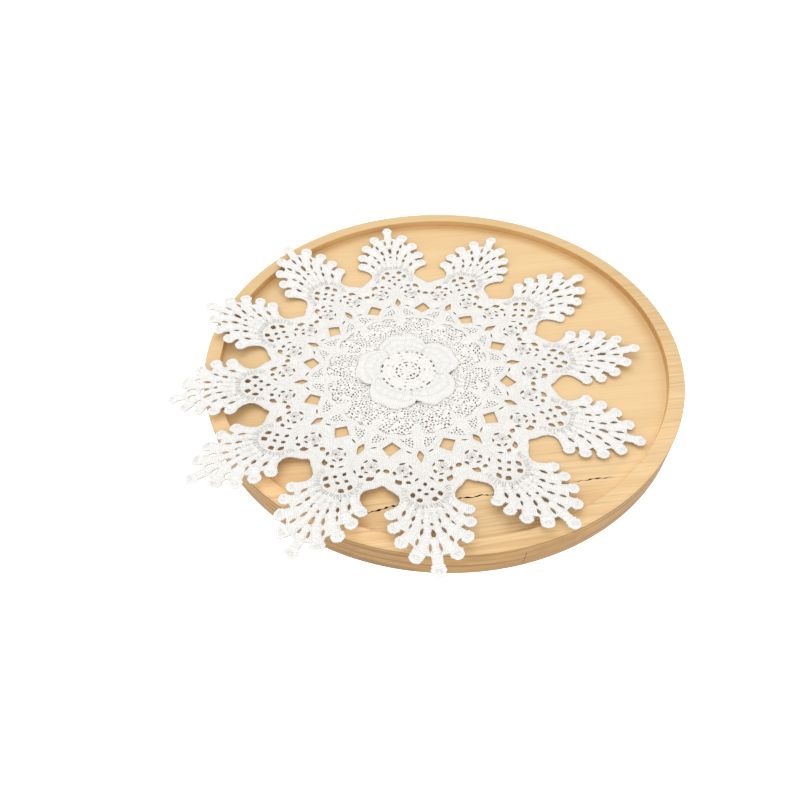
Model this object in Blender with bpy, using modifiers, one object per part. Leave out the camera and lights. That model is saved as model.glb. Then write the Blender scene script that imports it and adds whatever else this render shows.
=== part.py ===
"""A lace doily lying off-centre in a round bamboo tray, with its left and near fans over the rim.

Metres, +Z up. The origin is the middle of the tray's underside and -Y is the near side. The doily is
drawn flat as twelve equal sectors, cut from one sheet, and the flat sheet is then laid in the tray: it
lies on the tray's floor, climbs to clear the rim and runs on past it.
"""
import math
from collections import namedtuple

import bmesh
import bpy

MM = 0.001

# Tray
TRAY_RADIUS = 0.150
TRAY_HEIGHT = 0.0182
RIM_WIDTH = 0.0093
RECESS_DEPTH = 0.0052
EDGE_ROUNDING = 0.0008
FOOT_ROUNDING = 0.0010
FLOOR_FILLET = 0.0012
TRAY_STEPS = 96
CORNER_STEPS = 2

# Doily
SHEET_THICKNESS = 0.0016
FLOOR_GAP = 0.0003
DOILY_CENTRE = (-0.0198, -0.0211)
FIRST_FAN_ANGLE = 10.0
FAN_COUNT = 12
PITCH = 360.0 / FAN_COUNT

# How each fan lies, one row a fan, anticlockwise from the one that points right. lift_off is the distance
# from the doily's centre, in millimetres, at which the sheet leaves the floor. climb is its slope up to the
# rim and beyond is its slope from turn_over outwards, in degrees. twist turns the band inside the fan
# sideways and swing turns the fan itself, in degrees. reach is the share of its drawn length that the sheet
# keeps past REACH_FROM, where the thread has drawn in.
Fan = namedtuple("Fan", "lift_off climb turn_over beyond twist swing reach")
FANS = (
    Fan(100, 0.0, 108, 8.5, 0.15, -0.35, 0.950),
    Fan(100, 0.0, 108, 3.0, -0.45, 0.25, 1.028),
    Fan(100, 0.0, 108, 7.0, -0.70, -1.75, 0.986),
    Fan(100, 2.0, 112, 8.5, -0.30, -0.10, 0.980),
    Fan(92, 11.4, 125, 13.6, 0.75, 0.60, 0.987),
    Fan(83, 13.8, 122, 6.4, 1.45, 1.65, 0.946),
    Fan(76, 15.3, 112, -14.0, 0.70, 3.65, 0.963),
    Fan(72, 15.7, 108, 4.0, 0.25, 1.25, 0.974),
    Fan(70, 14.6, 108, 5.0, -0.30, 0.40, 0.959),
    Fan(72, 15.7, 115, 1.0, -0.50, -0.65, 0.945),
    Fan(85, 12.6, 125, 4.0, -0.30, -0.70, 0.929),
    Fan(100, 0.0, 115, 2.7, 0.10, 0.00, 0.932),
)
# Where a change of slope or direction starts, and the length over which it comes in, in millimetres.
CLIMB_EASE = 22.0
TURN_EASE = 18.0
TWIST_FROM = 36.0
TWIST_EASE = 24.0
SWING_FROM = 80.0
SWING_EASE = 45.0
REACH_FROM = 60.0

# Fingers of half a fan, in millimetres, from the fan's axis outwards: the middle of the rounded end, its
# radius, the lean of the finger from the axis in degrees, the turn of its arc to each side, and the notch
# before the next finger.
Finger = namedtuple("Finger", "across out radius lean arc notch_across notch_out")
FINGERS = (
    Finger(0.0, 148.6, 3.5, 0, 95, 3.7, 140.4),
    Finger(10.3, 139.6, 3.7, 14, 90, 11.2, 133.9),
    Finger(16.9, 130.4, 3.7, 23, 85, 14.6, 124.3),
    Finger(20.0, 120.6, 3.7, 33, 80, 17.2, 115.9),
    Finger(20.8, 111.0, 3.6, 42, 80, None, None),
)
FINGER_STEPS = 4

# The edge from a fan's last finger down to the cusp between two fans, in millimetres.
NECK_EDGE = ((16.6, 103.4), (15.1, 99.8), (15.5, 96.4), (17.6, 93.2), (20.6, 90.2))
CUSP_DISTANCE = 89.2

# Gaps of one sector, in millimetres from the doily's centre: across and out from the fan's axis, half the
# width and half the length, the lean of the length from the axis in degrees, and the number of sides. A gap
# off the axis has a mirrored twin.
Gap = namedtuple("Gap", "across out half_width half_length lean sides")
GAPS = (
    Gap(0.0, 127.4, 1.4, 3.5, 0, 6),
    Gap(2.7, 135.9, 0.95, 2.8, 9, 4),
    Gap(9.0, 131.3, 1.2, 2.2, 20, 4),
    Gap(5.8, 125.3, 1.2, 2.6, 22, 4),
    Gap(9.0, 115.1, 1.25, 2.0, 18, 4),
    Gap(13.9, 110.3, 1.2, 2.6, 20, 4),
    Gap(4.3, 101.0, 1.8, 1.9, -20, 4),
    Gap(7.5, 96.3, 1.25, 2.2, 6, 4),
    Gap(14.3, 84.6, 1.9, 2.9, -25, 6),
    Gap(9.0, 85.7, 1.6, 1.3, 20, 4),
    Gap(6.1, 73.6, 1.2, 1.8, -25, 4),
)
# Gaps on the line between two fans.
VALLEY_GAPS = (
    Gap(0.0, 78.4, 2.1, 1.6, 0, 4),
    Gap(0.0, 61.7, 5.7, 5.3, 0, 8),
)
# The kite-shaped gap on each fan's axis: its inner end, its widest place and its outer end.
KITE_INNER = 62.3
KITE_WIDEST = 66.7
KITE_OUTER = 71.9
KITE_HALF_WIDTH = 2.15
ROUND_CORNER = 0.80

# The flower at the doily's centre, raised on the upper face inside FLOWER_EDGE, in millimetres. Its petals
# overlap one way round: each starts on top of the one before and ends under the next.
FLOWER_EDGE = 36.0
FLOWER_STEPS = 60
PETAL_COUNT = 5
FIRST_PETAL_EDGE = 58.0
PETAL_INNER = 16.4
PETAL_OUTER = 33.5
PETAL_NOTCH = 6.0
PETAL_RISE = 0.9
PETAL_OVERLAP_RISE = 0.5
# A petal's course from its edge inwards: the share of its length and the share of its rise.
PETAL_COURSE = ((1.04, 0.0), (0.98, 0.8), (0.86, 1.0), (0.50, 0.75), (0.10, 0.5))
# The rings and the hub inside the petals: radius and rise, in millimetres.
CENTRE_COURSE = (
    (15.8, 0.0),
    (15.0, 0.7),
    (12.2, 0.9),
    (9.6, 0.6),
    (8.7, 0.0),
    (5.0, 0.0),
    (4.0, 0.5),
    (2.0, 0.6),
)

WELD_DISTANCE = 0.00001


def new_collection(name):
    """Return a new collection of this name in the scene."""
    collection = bpy.data.collections.new(name)
    bpy.context.scene.collection.children.link(collection)
    return collection


def new_material(name, colour, roughness):
    """Return a Principled material."""
    material = bpy.data.materials.new(name)
    material.use_nodes = True
    shader = material.node_tree.nodes["Principled BSDF"]
    shader.inputs["Base Color"].default_value = (*colour, 1.0)
    shader.inputs["Roughness"].default_value = roughness
    shader.inputs["Metallic"].default_value = 0.0
    return material


def ease(value):
    """Return a smooth step from 0 to 1 for a value from 0 to 1."""
    value = min(max(value, 0.0), 1.0)
    return value * value * (3.0 - 2.0 * value)


def corner(middle, radius, start, end):
    """Return the points of an arc in the profile's plane, angles in degrees."""
    points = []
    for step in range(CORNER_STEPS + 1):
        angle = math.radians(start + (end - start) * step / CORNER_STEPS)
        points.append((middle[0] + radius * math.cos(angle), middle[1] + radius * math.sin(angle)))
    return points


# ---------------------------------------------------------------- tray
def tray_profile():
    """Return the tray's half section, from the middle of its floor over the rim to the underside."""
    floor = TRAY_HEIGHT - RECESS_DEPTH
    inner = TRAY_RADIUS - RIM_WIDTH
    profile = [(0.0, floor)]
    profile += corner((inner - FLOOR_FILLET, floor + FLOOR_FILLET), FLOOR_FILLET, -90, 0)
    profile += corner((inner + EDGE_ROUNDING, TRAY_HEIGHT - EDGE_ROUNDING), EDGE_ROUNDING, 180, 90)
    profile += corner((TRAY_RADIUS - EDGE_ROUNDING, TRAY_HEIGHT - EDGE_ROUNDING), EDGE_ROUNDING, 90, 0)
    profile += corner((TRAY_RADIUS - FOOT_ROUNDING, FOOT_ROUNDING), FOOT_ROUNDING, 0, -90)
    profile.append((0.0, 0.0))
    return profile


def build_tray(collection):
    """Turn the tray from its half section."""
    profile = tray_profile()
    mesh = bpy.data.meshes.new("round_tray")
    shape = bmesh.new()
    points = [shape.verts.new((across, 0.0, height)) for across, height in profile]
    for first, second in zip(points, points[1:]):
        shape.edges.new((first, second))
    shape.to_mesh(mesh)
    shape.free()
    tray = bpy.data.objects.new("round_tray", mesh)
    collection.objects.link(tray)
    screw = tray.modifiers.new("Turn", "SCREW")
    screw.steps = TRAY_STEPS
    screw.render_steps = TRAY_STEPS
    screw.use_merge_vertices = True
    screw.merge_threshold = WELD_DISTANCE
    screw.use_smooth_shade = True
    mesh.materials.append(new_material("bamboo", (0.76, 0.52, 0.28), 0.45))
    return tray


# ---------------------------------------------------------------- flat sheet
def turned(across, out, angle):
    """Turn a point given across and out from an axis so that the axis lies at this angle, in degrees."""
    angle = math.radians(angle)
    return (
        out * math.cos(angle) + across * math.sin(angle),
        out * math.sin(angle) - across * math.cos(angle),
    )


def finger_end(finger):
    """Return the rounded end of a finger on the fan's right side, from its outer flank to its inner one."""
    points = []
    for step in range(FINGER_STEPS + 1):
        angle = math.radians(finger.lean + finger.arc * (1.0 - 2.0 * step / FINGER_STEPS))
        across = finger.across + finger.radius * math.sin(angle)
        out = finger.out + finger.radius * math.cos(angle)
        points.append((across, out))
    return points


def fan_edge():
    """Return a fan's edge from the cusp on its right to just before the one on its left."""
    right = list(reversed(NECK_EDGE))
    for place in range(len(FINGERS) - 1, 0, -1):
        before = FINGERS[place - 1]
        right += finger_end(FINGERS[place])
        right.append((before.notch_across, before.notch_out))
    left = [(-across, out) for across, out in reversed(right)]
    return right + finger_end(FINGERS[0]) + left


def gap_edge(gap):
    """Return a gap's corners, about the fan's axis. An eight-sided one is a square on its corner, rounded."""
    points = []
    lean = math.radians(gap.lean)
    for step in range(gap.sides):
        angle = 2.0 * math.pi * step / gap.sides
        length = gap.half_length * math.cos(angle)
        width = gap.half_width * math.sin(angle)
        if gap.sides == 8 and step % 2:
            length *= ROUND_CORNER
            width *= ROUND_CORNER
        across = gap.across + width * math.cos(lean) + length * math.sin(lean)
        out = gap.out + length * math.cos(lean) - width * math.sin(lean)
        points.append((across, out))
    return points


def kite_edge():
    """Return the corners of the kite-shaped gap."""
    right = (KITE_HALF_WIDTH, KITE_WIDEST)
    left = (-KITE_HALF_WIDTH, KITE_WIDEST)
    return [(0.0, KITE_INNER), right, (0.0, KITE_OUTER), left]


def sector_gaps():
    """Return the corners of each gap of one sector, about the fan's axis."""
    edges = [kite_edge()]
    for gap in GAPS:
        edges.append(gap_edge(gap))
        if gap.across:
            edges.append(gap_edge(gap._replace(across=-gap.across, lean=-gap.lean)))
    for gap in VALLEY_GAPS:
        edges.append([turned(-out, across, -PITCH / 2) for across, out in gap_edge(gap)])
    return edges


def flat_outlines():
    """Return the closed outlines of the whole flat sheet, in millimetres about the doily's centre."""
    rim = []
    gaps = []
    for fan in range(FAN_COUNT):
        axis = PITCH * fan
        rim.append(turned(0.0, CUSP_DISTANCE, axis - PITCH / 2))
        rim += [turned(across, out, axis) for across, out in fan_edge()]
        for edge in sector_gaps():
            gaps.append([turned(across, out, axis) for across, out in edge])
    centre = [turned(0.0, FLOWER_EDGE, 360.0 * step / FLOWER_STEPS) for step in range(FLOWER_STEPS)]
    return [rim, centre] + gaps


def cut_sheet():
    """Return the flat lace as a mesh, open at the centre where the flower goes in."""
    curve = bpy.data.curves.new("sheet_outline", "CURVE")
    curve.dimensions = "2D"
    curve.fill_mode = "BOTH"
    curve.extrude = SHEET_THICKNESS / 2
    for outline in flat_outlines():
        spline = curve.splines.new("POLY")
        spline.points.add(len(outline) - 1)
        for point, (across, up) in zip(spline.points, outline):
            point.co = (across * MM, up * MM, 0.0, 1.0)
        spline.use_cyclic_u = True
    pattern = bpy.data.objects.new("sheet_outline", curve)
    bpy.context.scene.collection.objects.link(pattern)
    graph = bpy.context.evaluated_depsgraph_get()
    mesh = bpy.data.meshes.new_from_object(pattern.evaluated_get(graph))
    bpy.data.objects.remove(pattern)
    bpy.data.curves.remove(curve)
    return mesh


def petal_point(along, rise, angle):
    """Return the radius and height of a petal's course at an angle, both in millimetres."""
    place = ((angle - FIRST_PETAL_EDGE) / 360.0 * PETAL_COUNT) % 1.0
    edge = PETAL_OUTER - PETAL_NOTCH * (1.0 - math.sin(math.pi * place)) ** 2
    radius = PETAL_INNER + (edge - PETAL_INNER) * along
    return radius, rise * (PETAL_RISE + PETAL_OVERLAP_RISE * (1.0 - place))


def flower_point(course, angle):
    """Return the radius and height at an angle of one ring of the flower, counted from its edge inwards."""
    if course < len(PETAL_COURSE):
        along, rise = PETAL_COURSE[course]
        return petal_point(along, rise, angle)
    return CENTRE_COURSE[course - len(PETAL_COURSE)]


def even_triangles(shape):
    """Make the triangles of the sheet's two faces compact, so that it can bend."""
    for side in (-1, 1):
        faces = [face for face in shape.faces if all(vert.co.z * side > 0 for vert in face.verts)]
        inside = set(faces)
        edges = [edge for edge in shape.edges if all(face in inside for face in edge.link_faces)]
        bmesh.ops.beautify_fill(shape, faces=faces, edges=edges)


def fill_centre(shape):
    """Close the sheet's centre: plain below, and above with rings that carry the raised flower."""
    limit = FLOWER_EDGE * MM + WELD_DISTANCE
    wall = [face for face in shape.faces if all(vert.co.xy.length < limit for vert in face.verts)]
    bmesh.ops.delete(shape, geom=wall, context="FACES")
    edges = [edge for edge in shape.edges if edge.is_boundary]
    below = [edge for edge in edges if all(vert.co.z < 0 for vert in edge.verts)]
    above = [edge for edge in edges if all(vert.co.z > 0 for vert in edge.verts)]
    bmesh.ops.contextual_create(shape, geom=below)
    for course in range(len(PETAL_COURSE) + len(CENTRE_COURSE)):
        ring = bmesh.ops.extrude_edge_only(shape, edges=above)["geom"]
        verts = [item for item in ring if isinstance(item, bmesh.types.BMVert)]
        above = [item for item in ring if isinstance(item, bmesh.types.BMEdge)]
        for vert in verts:
            angle = math.atan2(vert.co.y, vert.co.x)
            radius, rise = flower_point(course, math.degrees(angle))
            vert.co.xy = (radius * MM * math.cos(angle), radius * MM * math.sin(angle))
            vert.co.z = SHEET_THICKNESS / 2 + rise * MM
    bmesh.ops.contextual_create(shape, geom=above)


# ---------------------------------------------------------------- draping
def fan_row(angle):
    """Return the drape's values at an angle from the first fan, blended between its two nearest fans."""
    place = (angle / PITCH) % FAN_COUNT
    first = int(place)
    share = ease(place - first)
    pairs = zip(FANS[first % FAN_COUNT], FANS[(first + 1) % FAN_COUNT])
    return Fan(*(before + (after - before) * share for before, after in pairs))


def slope(row, distance):
    """Return the sheet's slope, in radians, at a distance along it from the centre in millimetres."""
    climbing = row.climb * ease((distance - row.lift_off) / CLIMB_EASE)
    turning = (row.beyond - row.climb) * ease((distance - row.turn_over) / TURN_EASE)
    return math.radians(climbing + turning)


def section(row, distance):
    """Follow the sheet outwards in 1 mm steps. Return its reach, rise and slope at this distance."""
    reach = rise = 0.0
    steps = int(distance)
    for step in range(steps):
        angle = slope(row, step + 0.5)
        reach += math.cos(angle)
        rise += math.sin(angle)
    angle = slope(row, distance)
    reach += (distance - steps) * math.cos(angle)
    rise += (distance - steps) * math.sin(angle)
    return reach, rise, angle


def draped(point):
    """Return where a point of the flat sheet comes to lie in the tray."""
    distance = math.hypot(point[0], point[1]) / MM
    angle = math.degrees(math.atan2(point[1], point[0]))
    row = fan_row(angle)
    turn = row.twist * ease((distance - TWIST_FROM) / TWIST_EASE)
    turn += (row.swing - row.twist) * ease((distance - SWING_FROM) / SWING_EASE)
    distance += max(distance - REACH_FROM, 0.0) * (row.reach - 1.0)
    reach, rise, tilt = section(row, distance)
    reach -= point[2] / MM * math.sin(tilt)
    rise += point[2] / MM * math.cos(tilt)
    heading = math.radians(angle + FIRST_FAN_ANGLE + turn)
    middle = TRAY_HEIGHT - RECESS_DEPTH + FLOOR_GAP + SHEET_THICKNESS / 2
    return (
        DOILY_CENTRE[0] + reach * MM * math.cos(heading),
        DOILY_CENTRE[1] + reach * MM * math.sin(heading),
        middle + rise * MM,
    )


def build_doily(collection):
    """Cut the lace, raise its flower and lay it in the tray."""
    mesh = cut_sheet()
    mesh.name = "lace_doily"
    shape = bmesh.new()
    shape.from_mesh(mesh)
    bmesh.ops.remove_doubles(shape, verts=shape.verts, dist=WELD_DISTANCE)
    even_triangles(shape)
    fill_centre(shape)
    bmesh.ops.triangulate(shape, faces=[face for face in shape.faces if len(face.verts) > 3])
    bmesh.ops.recalc_face_normals(shape, faces=shape.faces)
    for vert in shape.verts:
        vert.co = draped(vert.co)
    shape.to_mesh(mesh)
    shape.free()
    mesh.shade_smooth()
    mesh.set_sharp_from_angle(angle=math.radians(35))
    mesh.materials.clear()
    mesh.materials.append(new_material("white_cotton", (0.90, 0.88, 0.84), 0.85))
    doily = bpy.data.objects.new("lace_doily", mesh)
    collection.objects.link(doily)
    return doily


def main():
    """Build the doily and its tray."""
    for item in list(bpy.data.objects):
        bpy.data.objects.remove(item)
    collection = new_collection("lace_doily_on_tray")
    build_tray(collection)
    build_doily(collection)


main()
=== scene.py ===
"""Dress the lace doily and the round bamboo tray that it lies in.

The lace is drawn in millimetres on a flat plan, about the doily's centre with the first fan's axis along
+X, and Drape then lays it in the tray, in metres. The tray is turned in millimetres and scaled when it is
done. The studio, the camera and the tray's finish are in metres, and the lace's finishes follow its plan.
"""

from __future__ import annotations

import logging
import math
import random
from dataclasses import dataclass, field
from enum import Enum
from functools import reduce
from typing import Iterable, Sequence

import bmesh
import bpy
import numpy as np
from mathutils import Matrix, Quaternion, Vector

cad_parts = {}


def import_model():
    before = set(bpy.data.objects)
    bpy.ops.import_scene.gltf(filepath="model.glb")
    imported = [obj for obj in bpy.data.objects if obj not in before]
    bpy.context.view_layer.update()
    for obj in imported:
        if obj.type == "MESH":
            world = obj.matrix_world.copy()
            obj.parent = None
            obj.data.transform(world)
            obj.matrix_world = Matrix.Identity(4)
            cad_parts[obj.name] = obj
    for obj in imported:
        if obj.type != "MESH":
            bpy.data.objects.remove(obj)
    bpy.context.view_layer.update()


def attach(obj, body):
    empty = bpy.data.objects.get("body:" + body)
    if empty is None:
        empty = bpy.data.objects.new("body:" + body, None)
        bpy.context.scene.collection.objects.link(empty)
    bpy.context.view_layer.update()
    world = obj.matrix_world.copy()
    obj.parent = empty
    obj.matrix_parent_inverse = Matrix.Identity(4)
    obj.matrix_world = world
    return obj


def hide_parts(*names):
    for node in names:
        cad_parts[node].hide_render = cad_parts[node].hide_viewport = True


LOG = logging.getLogger("lace_doily")
MM = 0.001
FAN_COUNT = 12
PITCH = 360.0 / FAN_COUNT

Span = tuple[float, float]
Triple = tuple[float, float, float]
Colour = Triple
Line = Sequence[Sequence[float]]
Outline = list[tuple[float, float]]
Socket = bpy.types.NodeSocket
Mesh = bmesh.types.BMesh
Element = bmesh.types.BMVert | bmesh.types.BMEdge | bmesh.types.BMFace


# ---------------------------------------------------------------- small helpers
def ease(value: np.ndarray) -> np.ndarray:
    """Return a smooth step from 0 to 1."""
    value = np.clip(value, 0.0, 1.0)
    return value * value * (3.0 - 2.0 * value)


def smooth_noise(points: np.ndarray, size: float, seed: int, waves: int = 6) -> np.ndarray:
    """Return a soft pattern of waves from about -1 to 1, the same on each run.

    Args:
        points: The places, one row each.
        size: About how far apart its crests are, in the unit of the points.
        seed: Which pattern.
        waves: How many waves it is made of.

    Returns:
        One value for each place.
    """
    draws = np.random.RandomState(seed)
    total = np.zeros(len(points))
    for _ in range(waves):
        direction = draws.normal(size=2)
        direction *= draws.uniform(0.7, 1.5) * 2.0 * math.pi / size / np.linalg.norm(direction)
        total += np.sin(points[:, :2] @ direction + draws.uniform(0.0, 2.0 * math.pi))
    return total / waves * 1.6


def course(points: Line, step: float) -> np.ndarray:
    """Draw a smooth line through a few points.

    Args:
        points: Rows of across, out and width.
        step: The distance between the places returned.

    Returns:
        Rows of across, out and width, evenly spaced.
    """
    rows = np.array(points, float)
    if len(rows) == 2:
        fine = np.linspace(rows[0], rows[1], 60)
    else:
        padded = np.vstack((2 * rows[0] - rows[1], rows, 2 * rows[-1] - rows[-2]))
        pieces = []
        for start in range(len(rows) - 1):
            first, second, third, fourth = padded[start : start + 4]
            share = np.linspace(0.0, 1.0, 24, endpoint=start == len(rows) - 2)[:, None]
            bend = 2 * second + (third - first) * share
            bend += (2 * first - 5 * second + 4 * third - fourth) * share**2
            bend += (3 * second - first - 3 * third + fourth) * share**3
            pieces.append(0.5 * bend)
        fine = np.vstack(pieces)
    length = np.concatenate(([0.0], np.cumsum(np.linalg.norm(np.diff(fine[:, :2], axis=0), axis=1))))
    even = np.linspace(0.0, length[-1], max(2, int(round(length[-1] / step)) + 1))
    return np.column_stack([np.interp(even, length, fine[:, column]) for column in range(3)])


def mirrored(points: Line) -> Line:
    """Return a line's twin on the other side of the fan's axis."""
    return [(-point[0], *point[1:]) for point in points]


def turned(across: float, out: float, angle: float) -> tuple[float, float]:
    """Return a point given across and out from an axis that lies at this angle, in degrees."""
    sine, cosine = math.sin(math.radians(angle)), math.cos(math.radians(angle))
    return (out * cosine + across * sine, out * sine - across * cosine)


def radial(centre: Span, angle: float, rows: Line) -> Line:
    """Draw a straight line that leaves a centre.

    Args:
        centre: The centre's place across and out.
        angle: Which way the line leaves it, in degrees from the axis.
        rows: Radius and width of each point.

    Returns:
        Rows of across, out and width.
    """
    sine, cosine = math.sin(math.radians(angle)), math.cos(math.radians(angle))
    return [(centre[0] + radius * sine, centre[1] + radius * cosine, width) for radius, width in rows]


def in_order(items: Iterable[Element]) -> list[Element]:
    """Sort elements by where they are, so that random choices are the same on each run.

    Args:
        items: Vertices, edges or faces.

    Returns:
        The same, in order.
    """

    def place(item: Element) -> tuple[float, ...]:
        """Return an item's middle."""
        verts = [item] if isinstance(item, bmesh.types.BMVert) else list(item.verts)
        return tuple(round(value, 3) for value in sum((vert.co for vert in verts), Vector()) / len(verts))

    return sorted(items, key=place)


def face_outwards(shape: Mesh) -> None:
    """Turn a closed shape's faces outwards."""
    if shape.calc_volume(signed=True) < 0.0:
        bmesh.ops.reverse_faces(shape, faces=shape.faces)


def middle_level(shape: Mesh) -> float:
    """Return the height halfway between a shape's lowest and highest points."""
    heights = [vert.co.z for vert in shape.verts]
    return (min(heights) + max(heights)) / 2.0


def show(name: str, data: bpy.types.ID) -> bpy.types.Object:
    """Put something into the scene.

    Args:
        name: What it is called.
        data: A mesh, curve, light or camera.

    Returns:
        Its object.
    """
    thing = bpy.data.objects.new(name, data)
    bpy.context.scene.collection.objects.link(thing)
    return thing


def turned_to_mesh(shape: Mesh, name: str) -> bpy.types.Mesh:
    """Turn a finished shape into a mesh.

    Args:
        shape: The shape. It can't be used afterwards.
        name: What the mesh is called.

    Returns:
        The mesh.
    """
    mesh = bpy.data.meshes.new(name)
    shape.to_mesh(mesh)
    shape.free()
    return mesh


def fill(shape: Mesh, outlines: Iterable[Outline], level: float = 0.0) -> None:
    """Add a flat area with gaps to a shape.

    Args:
        shape: What it is added to.
        outlines: The area's rim and the edge of each gap.
        level: Its height.
    """
    curve = bpy.data.curves.new("outline", "CURVE")
    curve.dimensions = "2D"
    curve.fill_mode = "BOTH"
    for outline in outlines:
        spline = curve.splines.new("POLY")
        spline.points.add(len(outline) - 1)
        for point, (x, y) in zip(spline.points, outline):
            point.co = (x, y, level, 1.0)
        spline.use_cyclic_u = True
    pattern = show("outline", curve)
    mesh = bpy.data.meshes.new_from_object(pattern.evaluated_get(bpy.context.evaluated_depsgraph_get()))
    bpy.data.objects.remove(pattern)
    bpy.data.curves.remove(curve)
    shape.from_mesh(mesh)
    bpy.data.meshes.remove(mesh)


# ---------------------------------------------------------------- drape
@dataclass(frozen=True)
class FanLay:
    """How one fan lies: the same values as in the part's source."""

    lift_off: float
    climb: float
    turn_over: float
    beyond: float
    twist: float
    swing: float
    reach: float


@dataclass
class Drape:
    """Lays the flat plan in the tray. Lengths are in millimetres and turns in degrees."""

    centre: Span = (-19.8, -21.1)
    first_axis: float = 10.0
    middle: float = 14.1
    climb_ease: float = 22.0
    turn_ease: float = 18.0
    twist_from: float = 36.0
    twist_ease: float = 24.0
    swing_from: float = 80.0
    swing_ease: float = 45.0
    reach_from: float = 60.0
    fans: tuple[FanLay, ...] = (
        FanLay(100, 0.0, 108, 8.5, 0.15, -0.35, 0.950),
        FanLay(100, 0.0, 108, 3.0, -0.45, 0.25, 1.028),
        FanLay(100, 0.0, 108, 7.0, -0.70, -1.75, 0.986),
        FanLay(100, 2.0, 112, 8.5, -0.30, -0.10, 0.980),
        FanLay(92, 11.4, 125, 13.6, 0.75, 0.60, 0.987),
        FanLay(83, 13.8, 122, 6.4, 1.45, 1.65, 0.946),
        FanLay(76, 15.3, 112, -14.0, 0.70, 3.65, 0.963),
        FanLay(72, 15.7, 108, 4.0, 0.25, 1.25, 0.974),
        FanLay(70, 14.6, 108, 5.0, -0.30, 0.40, 0.959),
        FanLay(72, 15.7, 115, 1.0, -0.50, -0.65, 0.945),
        FanLay(85, 12.6, 125, 4.0, -0.30, -0.70, 0.929),
        FanLay(100, 0.0, 115, 2.7, 0.10, 0.00, 0.932),
    )

    def lay(self, flat: np.ndarray) -> np.ndarray:
        """Move points of the flat plan to where they lie in the tray.

        Args:
            flat: Rows of x, y and height over the sheet's middle, in millimetres.

        Returns:
            Rows of x, y and z in metres.
        """
        distance = np.hypot(flat[:, 0], flat[:, 1])
        angle = np.degrees(np.arctan2(flat[:, 1], flat[:, 0]))
        place = (angle / PITCH) % FAN_COUNT
        first = place.astype(int) % FAN_COUNT
        share = ease(place - np.floor(place))[:, None]
        rows = np.array([tuple(vars(fan).values()) for fan in self.fans])
        row = rows[first] + (rows[(first + 1) % FAN_COUNT] - rows[first]) * share
        lift_off, climb, turn_over, beyond, twist, swing, reach_share = row.T
        turn = twist * ease((distance - self.twist_from) / self.twist_ease)
        turn += (swing - twist) * ease((distance - self.swing_from) / self.swing_ease)
        distance = distance + np.maximum(distance - self.reach_from, 0.0) * (reach_share - 1.0)

        def slope(along: np.ndarray | float) -> np.ndarray:
            """Return the sheet's slope, in radians, at a distance along it."""
            climbing = climb * ease((along - lift_off) / self.climb_ease)
            return np.radians(climbing + (beyond - climb) * ease((along - turn_over) / self.turn_ease))

        reach, rise = np.zeros(len(flat)), np.zeros(len(flat))
        for step in range(int(distance.max()) + 1):
            part = np.clip(distance - step, 0.0, 1.0)
            tilt = slope(step + 0.5)
            reach += part * np.cos(tilt)
            rise += part * np.sin(tilt)
        tilt = slope(distance)
        reach -= flat[:, 2] * np.sin(tilt)
        rise += flat[:, 2] * np.cos(tilt)
        heading = np.radians(angle + self.first_axis + turn)
        x = self.centre[0] + reach * np.cos(heading)
        y = self.centre[1] + reach * np.sin(heading)
        return MM * np.column_stack((x, y, self.middle + rise))


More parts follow.
